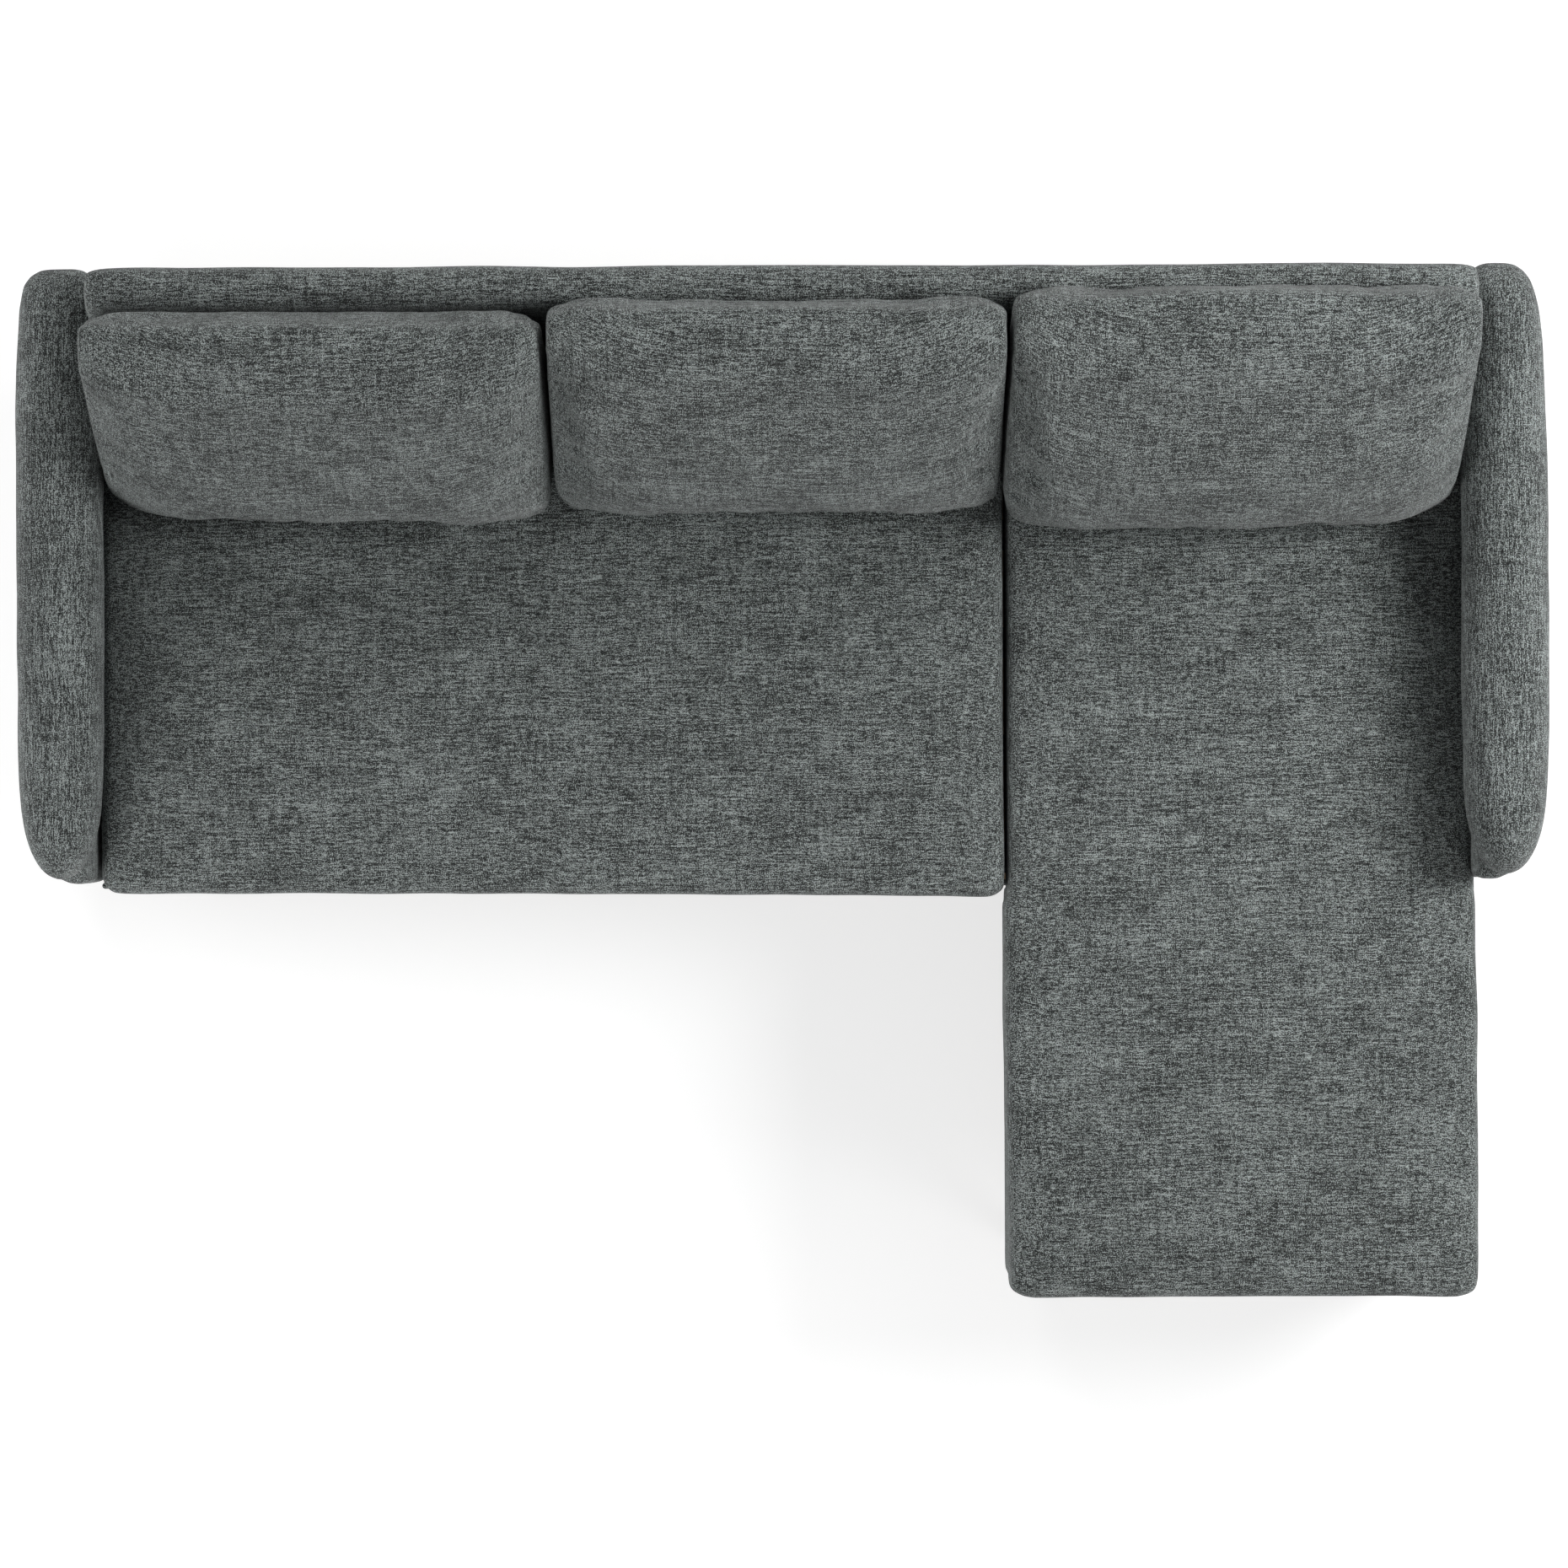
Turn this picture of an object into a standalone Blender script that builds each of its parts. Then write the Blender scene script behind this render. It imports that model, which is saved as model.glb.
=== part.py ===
"""Three-seat sofa with a chaise base: timber frames, upholstery, loose pads and cushions, and fittings.

Metres, +Z up, front towards -Y, the chaise at +X. The origin lies on the floor, under the middle of the whole.
"""

import math

import bmesh
import bpy
from mathutils import Matrix, Vector

# Overall sizes
overall_width = 2.400
chaise_depth = 1.610
sofa_depth = 0.955
back_height = 0.775
arm_height = 0.615
cushion_top_height = 0.860

# Gaps, skins and working values
touch_gap = 0.0004
fabric_thickness = 0.002
fill_gap = 0.0007
cutter_overrun = 0.010
weld_distance = 0.00001
sharp_angle_deg = 40
half_share = 0.5

# Legs, rails and the stretched deck
leg_height = 0.115
leg_top_radius = 0.026
leg_foot_radius = 0.018
leg_inset = 0.045
leg_sides = 24
rail_height = 0.170
rail_thickness = 0.030
rail_arm_gap = 0.008
rear_rail_end_gap = 0.019
rear_rail_padding = 0.012
strap_width = 0.050
strap_thickness = 0.002
strap_end_inset = 0.010
sofa_straps_across = 9
sofa_straps_deep = 5
chaise_straps_across = 4
chaise_straps_deep = 4
dust_cover_thickness = 0.0012
dust_cover_lap = 0.008
dust_cover_leg_gap = 0.002
border_thickness = 0.010
border_edge_radius = 0.004
border_edge_segments = 2
chaise_corner_radius = 0.022
chaise_corner_steps = 4
border_height_over_rail = 0.002

# Arms: a slim body with a fat roll on it
arm_body_width = 0.088
arm_roll_width = 0.134
arm_roll_outer_overhang = 0.005
arm_panel_thickness = 0.045
arm_panel_height = 0.370
arm_panel_inset = 0.004
arm_panel_end_gap = 0.030
arm_body_set_back = 0.004
arm_roll_set_back = 0.017
arm_straight_height = 0.405
arm_waist_height = 0.450
arm_roll_low_height = 0.486
arm_roll_mid_height = 0.562
arm_roll_swell = 0.006
arm_top_swell = 0.010
arm_roll_low_share = 0.86
arm_roll_top_share = 0.78
arm_end_width_share = 0.66
arm_end_height_share = 0.55
arm_end_reach = 0.075
arm_inner_shares = (0.36, 0.66)

# Back: a leaning front face under a rounded top roll
back_lean_share = 0.27
back_roll_front = 0.066
back_roll_start = 0.040
back_waist_height = 0.430
back_shoulder_height = 0.470
back_end_gap = 0.005
back_foot_gap = 0.003
back_top_swell = 0.012
back_top_narrowing = 0.012
back_end_rounding = 0.020
back_end_reach = 0.060
back_inner_shares = (0.36, 0.64)
back_padding_thickness = 0.028
back_panel_thickness = 0.004
back_post_thickness = 0.030
back_rear_padding = 0.012
back_end_padding = 0.010
back_top_rail_height = 0.045
back_top_padding = 0.030

# Seat pads
pad_thickness = 0.152
pad_crown = 0.016
pad_edge_reach = 0.055
pad_overhang = 0.011
pad_back_gap = 0.008
bench_side_gap = 0.016
chaise_side_gap = 0.002
bench_crown_shares = (0.36,)
chaise_crown_shares = (0.30, 0.58)
pad_crown_side_share = 0.5
seam_x = 0.3545
seam_gap = 0.003

# Back cushions
cushion_gap = 0.003
cushion_arm_gap = 0.002
cushion_back_gap = 0.007
cushion_thickness = 0.245
cushion_crown = 0.040
cushion_top_crown = 0.018
cushion_side_draw = 0.014
cushion_foot_draw = 0.024
cushion_edge_reach = 0.085
cushion_high_shares = (0, 0.25, 0.5, 0.75, 1)
cushion_thickness_shares = (0.80, 1, 0.94, 0.76, 0.42)

# Zips in the covers
zip_mouth_width = 0.0045
cushion_zip_side_gap = 0.1225
bench_zip_side_gap = 0.272
chaise_zip_side_gap = 0.1245
cushion_zip_rise = 0.002
zip_end_margin = 0.004
slider_length = 0.012
slider_width = 0.009
slider_plate = 0.0015
slider_neck = 0.003
slider_play = 0.0004
pull_length = 0.024
pull_width = 0.005
pull_thickness = 0.0012
pull_lap = 0.008
pull_sink = 0.0003
relief_width = 0.014
relief_depth = 0.008

# Hooks that hold the chaise base to the sofa
hook_thickness = 0.003
hook_half_width = 0.010
hook_left_inset = 0.204
hook_right_inset = 0.185
pin_radius = 0.0040
pin_play = 0.0003
pin_head_radius = 0.0080
pin_head_thickness = 0.003
pin_collar_thickness = 0.0022
pin_sides = 24
pin_from_rail_face = 0.0125
hook_slot_reach_share = 0.45
hook_slot_steps = 8
hook_round_steps = 10

# Places worked out from the sizes above
half_width = overall_width / 2
rear_y = chaise_depth / 2
chaise_front_y = -rear_y
sofa_front_y = rear_y - sofa_depth
base_top = leg_height + rail_height
arm_outer_x = half_width - arm_roll_outer_overhang
arm_inner_x = arm_outer_x - arm_body_width
roll_inner_x = half_width - arm_roll_width
rail_outer_x = arm_inner_x - rail_arm_gap
front_rail_front_y = sofa_front_y + border_thickness + touch_gap
front_rail_rear_y = front_rail_front_y + rail_thickness
back_rear_y = rear_y - fabric_thickness
rear_rail_rear_y = back_rear_y - fabric_thickness - rear_rail_padding
rear_rail_front_y = rear_rail_rear_y - rail_thickness
deck_bottom = base_top + touch_gap
deck_top = deck_bottom + strap_thickness
border_top = base_top + border_height_over_rail
pad_bottom = border_top + touch_gap
back_foot = deck_top + back_foot_gap
pad_top = pad_bottom + pad_thickness
chaise_left_x = seam_x + seam_gap / 2
chaise_right_x = arm_inner_x - chaise_side_gap
chaise_base_front_y = chaise_front_y + pad_overhang
chaise_base_rear_y = sofa_front_y - seam_gap
cross_rail_xs = (-seam_x, seam_x)
hook_xs = (chaise_left_x + hook_left_inset, chaise_right_x - hook_right_inset)


def back_front_y(height):
    """Where the back's leaning front face stands at this height."""
    start = back_height - back_roll_start
    return rear_y - back_roll_front - back_lean_share * (start - height)


def clear_scene():
    for old in list(bpy.data.objects):
        bpy.data.objects.remove(old, do_unlink=True)


def new_collection(name):
    collection = bpy.data.collections.new(name)
    bpy.context.scene.collection.children.link(collection)
    return collection


def new_material(name, colour, roughness, metallic):
    material = bpy.data.materials.new(name)
    material.use_nodes = True
    shader = material.node_tree.nodes["Principled BSDF"]
    shader.inputs["Base Color"].default_value = (*colour, 1)
    shader.inputs["Roughness"].default_value = roughness
    shader.inputs["Metallic"].default_value = metallic
    return material


clear_scene()
sofa = new_collection("sectional_sofa")
cutters = new_collection("cutters")
charcoal_fabric = new_material("charcoal_fabric", (0.108, 0.120, 0.116), 0.92, 0)
lining_fabric = new_material("black_lining", (0.020, 0.020, 0.022), 0.95, 0)
webbing = new_material("webbing", (0.180, 0.160, 0.130), 0.90, 0)
foam = new_material("foam", (0.780, 0.740, 0.620), 0.95, 0)
timber = new_material("frame_timber", (0.560, 0.400, 0.240), 0.70, 0)
board = new_material("board", (0.380, 0.260, 0.150), 0.75, 0)
leg_wood = new_material("leg_wood", (0.060, 0.040, 0.028), 0.45, 0)
steel = new_material("zinc_steel", (0.620, 0.630, 0.640), 0.35, 1)


def add_mesh_object(name, form, material=None, collection=None):
    """An object from a bmesh, which is then freed."""
    mesh = bpy.data.meshes.new(name)
    bmesh.ops.recalc_face_normals(form, faces=form.faces)
    form.to_mesh(mesh)
    form.free()
    shape = bpy.data.objects.new(name, mesh)
    (collection or sofa).objects.link(shape)
    if material:
        mesh.materials.append(material)
    return shape


def as_cutter(shape):
    shape.hide_render = True
    shape.display_type = "WIRE"
    return shape


def box_form(size):
    form = bmesh.new()
    bmesh.ops.create_cube(form, size=1)
    bmesh.ops.scale(form, vec=size, verts=form.verts)
    return form


def add_box(name, low, high, material=None, collection=None):
    """A box between two corners, its origin in its middle."""
    low = Vector(low)
    high = Vector(high)
    shape = add_mesh_object(name, box_form(high - low), material, collection)
    shape.location = (low + high) / 2
    return shape


def add_bevel(shape, width, segments):
    bevel = shape.modifiers.new("rounded_edges", "BEVEL")
    bevel.width = width
    bevel.segments = segments
    bevel.limit_method = "ANGLE"
    return bevel


def add_cut(shape, cutter, operation="DIFFERENCE"):
    cut = shape.modifiers.new(cutter.name, "BOOLEAN")
    cut.operation = operation
    cut.object = cutter
    cut.solver = "EXACT"


def shade_round(shape):
    shape.data.shade_smooth()
    shape.data.set_sharp_from_angle(angle=math.radians(sharp_angle_deg))


def add_outline(name, points, thickness, material=None, collection=None):
    """A flat closed outline, thickened evenly to both sides of its plane."""
    curve = bpy.data.curves.new(name, "CURVE")
    curve.dimensions = "2D"
    curve.fill_mode = "BOTH"
    curve.extrude = thickness / 2
    spline = curve.splines.new("POLY")
    spline.points.add(len(points) - 1)
    for point, (across, along) in zip(spline.points, points):
        point.co = (across, along, 0, 1)
    spline.use_cyclic_u = True
    shape = bpy.data.objects.new(name, curve)
    (collection or sofa).objects.link(shape)
    if material:
        curve.materials.append(material)
    return shape


def as_mesh(shape):
    """The same object with a welded mesh in place of its curve."""
    bpy.context.view_layer.update()
    graph = bpy.context.evaluated_depsgraph_get()
    mesh = bpy.data.meshes.new_from_object(shape.evaluated_get(graph))
    form = bmesh.new()
    form.from_mesh(mesh)
    bmesh.ops.remove_doubles(form, verts=form.verts, dist=weld_distance)
    bmesh.ops.recalc_face_normals(form, faces=form.faces)
    form.to_mesh(mesh)
    form.free()
    name = shape.name
    place = shape.matrix_world.copy()
    home = shape.users_collection[0]
    bpy.data.objects.remove(shape, do_unlink=True)
    solid = bpy.data.objects.new(name, mesh)
    home.objects.link(solid)
    solid.matrix_world = place
    return solid


# Turns an outline drawn in (Y, Z) upright, with its thickness along X.
upright = Matrix(((0, 0, 1, 0), (1, 0, 0, 0), (0, 1, 0, 0), (0, 0, 0, 1)))


def soft_form(across_shares, deep_shares, high_shares, place, open_bottom=False):
    """A box lattice cut at the given shares, each of its points then put where place says."""
    form = bmesh.new()
    bmesh.ops.create_cube(form, size=1)
    bmesh.ops.translate(form, vec=(half_share, half_share, half_share), verts=form.verts)
    for axis, shares in enumerate((across_shares, deep_shares, high_shares)):
        normal = Vector((axis == 0, axis == 1, axis == 2))
        for share in shares[1:-1]:
            bmesh.ops.bisect_plane(
                form,
                geom=form.verts[:] + form.edges[:] + form.faces[:],
                plane_co=normal * share,
                plane_no=normal,
            )
    if open_bottom:
        low = [face for face in form.faces if face.normal.z < -half_share]
        bmesh.ops.delete(form, geom=low, context="FACES")
    for point in form.verts:
        point.co = place(*point.co)
    form.normal_update()
    return form


def add_soft(name, form, material):
    """A soft body: its cage, rounded by one subdivision and split into fixed triangles."""
    shape = add_mesh_object(name, form, material)
    rounding = shape.modifiers.new("rounding", "SUBSURF")
    rounding.levels = 1
    rounding.render_levels = 1
    facets = shape.modifiers.new("facets", "TRIANGULATE")
    facets.quad_method = "FIXED"
    shape.data.shade_smooth()
    return shape


def add_skin(shape):
    """Makes a soft body a fabric cover, its thickness inwards."""
    skin = shape.modifiers.new("fabric", "SOLIDIFY")
    skin.thickness = fabric_thickness
    skin.offset = -1


def add_shrink(shape):
    """Draws a soft body in, so that it fills its cover."""
    shrink = shape.modifiers.new("shrink", "DISPLACE")
    shrink.strength = -(fabric_thickness + fill_gap)
    shrink.mid_level = 0


def edge_shares(length, reach, inner_shares):
    """Shares of a length: its ends, a line this far in from each, and the inner ones."""
    near = reach / length
    return (0, near, *inner_shares, 1 - near, 1)


def bulge(share):
    """1 in the middle of 0 to 1, and 0 at its ends."""
    return 1 - (2 * share - 1) ** 2


def blend(low, high, share):
    return low + (high - low) * share


def mirror_name(side):
    return "left" if side < 0 else "right"


def build_sofa_rails():
    """The two long rails, the two end rails and the two cross rails of the seat frame."""
    low = leg_height
    high = base_top
    add_box(
        "sofa_front_rail",
        (-rail_outer_x, front_rail_front_y, low),
        (rail_outer_x, front_rail_rear_y, high),
        timber,
    )
    rear_half = rail_outer_x - rear_rail_end_gap
    add_box(
        "sofa_rear_rail",
        (-rear_half, rear_rail_front_y, low),
        (rear_half, rear_rail_rear_y, high),
        timber,
    )
    front = front_rail_rear_y + touch_gap
    rear = rear_rail_front_y - touch_gap
    end_x = rail_outer_x - rail_thickness / 2
    places = {
        "sofa_left_rail": -end_x,
        "sofa_right_rail": end_x,
        "sofa_cross_rail_left": cross_rail_xs[0],
        "sofa_cross_rail_right": cross_rail_xs[1],
    }
    for name, middle in places.items():
        add_box(
            name,
            (middle - rail_thickness / 2, front, low),
            (middle + rail_thickness / 2, rear, high),
            timber,
        )


def strap_edges(length, count):
    """How far both edges of each strap lie from the start, for a row of straps over this length."""
    pitch = (length - strap_width) / (count - 1)
    edges = []
    for index in range(count):
        edges += [index * pitch, index * pitch + strap_width]
    return edges


def build_webbing(name, low, high, across, deep, tail=0):
    """Crossed elastic straps as one net on the rails. Those front to rear run on by the tail."""
    width = high[0] - low[0]
    length = high[1] - low[1]
    form = bmesh.new()
    bmesh.ops.create_grid(form, x_segments=1, y_segments=1, size=half_share)
    bmesh.ops.translate(form, vec=(half_share, half_share, 0), verts=form.verts)
    bmesh.ops.scale(form, vec=(width, length + tail, 1), verts=form.verts)
    edges = (strap_edges(width, across), strap_edges(length, deep))
    for axis, cuts in enumerate(edges):
        normal = Vector((axis == 0, axis == 1, 0))
        inner = cuts[1:] if axis == 1 and tail else cuts[1:-1]
        for cut in inner:
            bmesh.ops.bisect_plane(
                form,
                geom=form.verts[:] + form.edges[:] + form.faces[:],
                plane_co=normal * cut,
                plane_no=normal,
            )
    gaps = []
    for face in form.faces:
        middle = face.calc_center_median()
        between = [
            sum(edge < middle[axis] for edge in edges[axis]) % 2 == 0 for axis in (0, 1)
        ]
        if all(between):
            gaps.append(face)
    bmesh.ops.delete(form, geom=gaps, context="FACES")
    net = add_mesh_object(name, form, webbing)
    net.location = (low[0], low[1], deck_bottom)
    thick = net.modifiers.new("strap_thickness", "SOLIDIFY")
    thick.thickness = strap_thickness
    thick.offset = 1


def build_leg(name, x, y):
    """A tapered round leg, flat on the floor."""
    form = bmesh.new()
    height = leg_height - touch_gap
    bmesh.ops.create_cone(
        form,
        cap_ends=True,
        segments=leg_sides,
        radius1=leg_foot_radius,
        radius2=leg_top_radius,
        depth=height,
    )
    leg = add_mesh_object(name, form, leg_wood)
    leg.location = (x, y, height / 2)
    shade_round(leg)


def sofa_leg_places():
    side = rail_outer_x - leg_inset
    front = front_rail_front_y + leg_top_radius
    rear = rear_rail_rear_y - leg_top_radius
    return {
        "sofa_leg_front_left": (-side, front),
        "sofa_leg_front_right": (side, front),
        "sofa_leg_rear_left": (-side, rear),
        "sofa_leg_rear_right": (side, rear),
        "sofa_leg_middle": (cross_rail_xs[0], (front + rear) / 2),
    }


def chaise_leg_places():
    left = chaise_left_x + leg_inset
    right = chaise_right_x - leg_inset
    front = chaise_base_front_y + leg_inset
    rear = chaise_base_rear_y - leg_inset
    return {
        "chaise_leg_front_left": (left, front),
        "chaise_leg_front_right": (right, front),
        "chaise_leg_rear_left": (left, rear),
        "chaise_leg_rear_right": (right, rear),
    }


def build_dust_cover(name, low, high, legs):
    """A thin lining stapled under a base, with a hole round each leg."""
    top = leg_height - touch_gap
    bottom = top - dust_cover_thickness
    sheet = add_box(name, (*low, bottom), (*high, top), lining_fabric)
    for leg, (x, y) in legs.items():
        form = bmesh.new()
        bmesh.ops.create_cone(
            form,
            cap_ends=True,
            segments=leg_sides,
            radius1=leg_top_radius + dust_cover_leg_gap,
            radius2=leg_top_radius + dust_cover_leg_gap,
            depth=dust_cover_thickness + 2 * cutter_overrun,
        )
        hole = as_cutter(add_mesh_object("hole_for_" + leg, form, None, cutters))
        hole.location = (x, y, (top + bottom) / 2)
        add_cut(sheet, hole)


def build_sofa_base():
    build_sofa_rails()
    strap_x = rail_outer_x - strap_end_inset
    last_strap_rear = back_front_y(deck_top)
    build_webbing(
        "sofa_webbing",
        (-strap_x, front_rail_front_y + strap_end_inset),
        (strap_x, last_strap_rear),
        sofa_straps_across,
        sofa_straps_deep,
        rear_rail_rear_y - strap_end_inset - last_strap_rear,
    )
    border = add_box(
        "sofa_front_border",
        (-arm_inner_x + touch_gap, sofa_front_y, leg_height),
        (arm_inner_x - touch_gap, sofa_front_y + border_thickness, border_top),
        charcoal_fabric,
    )
    add_bevel(border, border_edge_radius, border_edge_segments)
    legs = sofa_leg_places()
    for name, place in legs.items():
        build_leg(name, *place)
    side = rail_outer_x - rail_thickness + dust_cover_lap
    build_dust_cover(
        "sofa_dust_cover",
        (-side, front_rail_rear_y - dust_cover_lap),
        (side, rear_rail_front_y + dust_cover_lap),
        legs,
    )


def build_chaise_cover():
    """The padded band round the chaise base, with rounded upright corners."""
    low = Vector((chaise_left_x, chaise_base_front_y, leg_height))
    high = Vector((chaise_right_x, chaise_base_rear_y, border_top))
    form = box_form(high - low)
    form.faces.ensure_lookup_table()
    ends = [face for face in form.faces if abs(face.normal.z) > half_share]
    bmesh.ops.delete(form, geom=ends, context="FACES")
    upright_edges = [
        edge for edge in form.edges if edge.verts[0].co.z * edge.verts[1].co.z < 0
    ]
    bmesh.ops.bevel(
        form,
        geom=upright_edges,
        offset=chaise_corner_radius,
        segments=chaise_corner_steps,
        profile=half_share,
        affect="EDGES",
    )
    band = add_mesh_object("chaise_base_cover", form, charcoal_fabric)
    band.location = (low + high) / 2
    wall = band.modifiers.new("padding", "SOLIDIFY")
    wall.thickness = border_thickness
    wall.offset = -1
    shade_round(band)


def build_chaise_base():
    """The low frame that carries the front of the chaise pad."""
    wall = border_thickness + touch_gap
    left = chaise_left_x + wall
    right = chaise_right_x - wall
    front = chaise_base_front_y + wall
    rear = chaise_base_rear_y - wall
    corner = chaise_corner_radius - border_thickness
    low = leg_height
    high = base_top
    for name, start in (
        ("chaise_front_rail", front),
        ("chaise_rear_rail", rear - rail_thickness),
    ):
        add_box(
            name,
            (left + corner, start, low),
            (right - corner, start + rail_thickness, high),
            timber,
        )
    inner_front = front + rail_thickness + touch_gap
    inner_rear = rear - rail_thickness - touch_gap
    for name, start in (
        ("chaise_left_rail", left),
        ("chaise_right_rail", right - rail_thickness),
    ):
        add_box(
            name,
            (start, inner_front, low),
            (start + rail_thickness, inner_rear, high),
            timber,
        )
    build_webbing(
        "chaise_webbing",
        (left + corner, front + strap_end_inset),
        (right - corner, rear - strap_end_inset),
        chaise_straps_across,
        chaise_straps_deep,
    )
    build_chaise_cover()
    legs = chaise_leg_places()
    for name, place in legs.items():
        build_leg(name, *place)
    reach = rail_thickness - dust_cover_lap
    build_dust_cover(
        "chaise_dust_cover",
        (left + reach, front + reach),
        (right - reach, rear - reach),
        legs,
    )


arm_deep_shares = edge_shares(sofa_depth, arm_end_reach, arm_inner_shares)
arm_across_shares = (0, half_share, 1)


def arm_form(side, open_bottom):
    """An arm's outside: an upright body, and a roll that swells over it and draws in at its ends."""
    heights = (
        leg_height,
        arm_straight_height,
        arm_waist_height,
        arm_roll_low_height,
        arm_roll_mid_height,
        arm_height + arm_top_swell,
    )
    body_middle = (arm_inner_x + arm_outer_x) / 2
    roll_middle = half_width - arm_roll_width / 2
    body_half = arm_body_width / 2
    roll_half = arm_roll_width / 2
    levels = (
        (body_middle, body_half, 0),
        (body_middle, body_half, 0),
        (body_middle, body_half, 0),
        (roll_middle, roll_half * arm_roll_low_share, 1),
        (roll_middle, roll_half + arm_roll_swell, 1),
        (roll_middle, roll_half * arm_roll_top_share, 1),
    )
    last = len(heights) - 1

    def place(across, deep, high):
        level = round(high * last)
        middle, half, rolled = levels[level]
        at_end = deep in (0, 1)
        front = sofa_front_y + arm_body_set_back
        rear = rear_y - arm_body_set_back
        height = heights[level]
        if rolled:
            front = sofa_front_y + arm_roll_set_back
            rear = rear_y
            if at_end:
                half *= arm_end_width_share
            if at_end and level == last:
                height = blend(arm_roll_mid_height, height, arm_end_height_share)
        x = middle + half * (2 * across - 1)
        return Vector((side * x, blend(front, rear, deep), height))

    high_shares = tuple(index / last for index in range(last + 1))
    return soft_form(arm_across_shares, rounded(arm_deep_shares), high_shares, place, open_bottom)


def rounded(shares):
    """The same shares, as a lattice's 32-bit points hold them."""
    return tuple(Vector((share, 0, 0)).x for share in shares)


def build_arm(side):
    """A timber panel, the foam round it and the fabric over both."""
    name = mirror_name(side)
    cover = add_soft(name + "_arm_cover", arm_form(side, True), charcoal_fabric)
    add_skin(cover)
    inner = arm_inner_x + fabric_thickness + fill_gap + arm_panel_inset
    outer = inner + arm_panel_thickness
    low = leg_height
    high = leg_height + arm_panel_height
    front = sofa_front_y + arm_body_set_back + arm_panel_end_gap
    rear = rear_y - arm_body_set_back - arm_panel_end_gap
    xs = sorted((side * inner, side * outer))
    add_box(name + "_arm_panel", (xs[0], front, low), (xs[1], rear, high), timber)
    slot = as_cutter(
        add_box(
            name + "_arm_slot",
            (xs[0] - touch_gap, front - touch_gap, low - cutter_overrun),
            (xs[1] + touch_gap, rear + touch_gap, high + touch_gap),
            None,
            cutters,
        )
    )
    padding = add_soft(name + "_arm_padding", arm_form(side, False), foam)
    add_shrink(padding)
    add_cut(padding, slot)


back_across_shares = edge_shares(2 * roll_inner_x, back_end_reach, back_inner_shares)
back_deep_shares = (0, half_share, 1)


def back_form(open_bottom):
    """The back's outside: a leaning front, an upright rear and a rounded roll along the top."""
    roll_start = back_height - back_roll_start
    heights = (
        back_foot,
        back_waist_height,
        back_shoulder_height,
        roll_start,
        back_height + back_top_swell,
    )
    low_half = arm_inner_x - touch_gap
    high_half = roll_inner_x - back_end_gap
    halves = (low_half, low_half, high_half, high_half, high_half - back_end_rounding)
    last = len(heights) - 1

    def place(across, deep, high):
        level = round(high * last)
        height = heights[level]
        front = back_front_y(height)
        if level == 0 and deep == 1:
            height = leg_height
        rear = back_rear_y
        if level == last:
            front += back_top_narrowing
            rear -= back_top_narrowing
            if across in (0, 1):
                height -= back_end_rounding
        half = halves[level]
        return Vector((half * (2 * across - 1), blend(front, rear, deep), height))

    high_shares = tuple(index / last for index in range(last + 1))
    return soft_form(rounded(back_across_shares), back_deep_shares, high_shares, place, open_bottom)


def build_back():
    """Posts, a top rail and a board, with foam over them and one long fabric cover."""
    cover = add_soft("back_cover", back_form(True), charcoal_fabric)
    add_skin(cover)
    board_front = fabric_thickness + fill_gap + back_padding_thickness
    post_front = board_front + back_panel_thickness + touch_gap
    rail_top = back_height - back_top_padding
    post_top = rail_top - back_top_rail_height - touch_gap
    low = base_top + touch_gap
    rear = back_rear_y - fabric_thickness - fill_gap - back_rear_padding
    post_outline = (
        (back_front_y(low) + post_front, low),
        (rear, low),
        (rear, post_top),
        (back_front_y(post_top) + post_front, post_top),
    )
    end_x = roll_inner_x - back_end_gap - back_end_padding - back_post_thickness
    for name, x in (
        ("back_post_left", -end_x),
        ("back_post_middle_left", cross_rail_xs[0]),
        ("back_post_middle_right", cross_rail_xs[1]),
        ("back_post_right", end_x),
    ):
        post = add_outline(name, post_outline, back_post_thickness, timber)
        post.matrix_world = Matrix.Translation((x, 0, 0)) @ upright
    frame_half = end_x + back_post_thickness / 2
    add_box(
        "back_top_rail",
        (-frame_half, back_front_y(rail_top) + post_front, post_top + touch_gap),
        (frame_half, rear, rail_top),
        timber,
    )
    board_low = pad_bottom + cutter_overrun
    panel_outline = (
        (back_front_y(board_low) + board_front, board_low),
        (back_front_y(board_low) + board_front + back_panel_thickness, board_low),
        (back_front_y(post_top) + board_front + back_panel_thickness, post_top),
        (back_front_y(post_top) + board_front, post_top),
    )
    panel = add_outline("back_panel", panel_outline, 2 * frame_half, board)
    panel.matrix_world = upright
    build_back_padding(board_front, rail_top, rear, frame_half)


def build_back_padding(board_front, rail_top, rear, frame_half):
    """Foam over the frame, with the frame's own space left open below."""
    low = pad_bottom - cutter_overrun
    high = rail_top + touch_gap
    front = board_front - touch_gap
    outline = (
        (back_front_y(low) + front, low),
        (rear + touch_gap, low),
        (rear + touch_gap, high),
        (back_front_y(high) + front, high),
    )
    space = add_outline(
        "back_frame_space", outline, 2 * (frame_half + touch_gap), None, cutters
    )
    space.matrix_world = upright
    space = as_cutter(as_mesh(space))
    below = as_cutter(
        add_box(
            "below_back_padding",
            (-half_width, back_front_y(0), 0),
            (half_width, rear_y + cutter_overrun, back_foot),
            None,
            cutters,
        )
    )
    padding = add_soft("back_padding", back_form(False), foam)
    add_shrink(padding)
    add_cut(padding, space)
    add_cut(padding, below)


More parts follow.
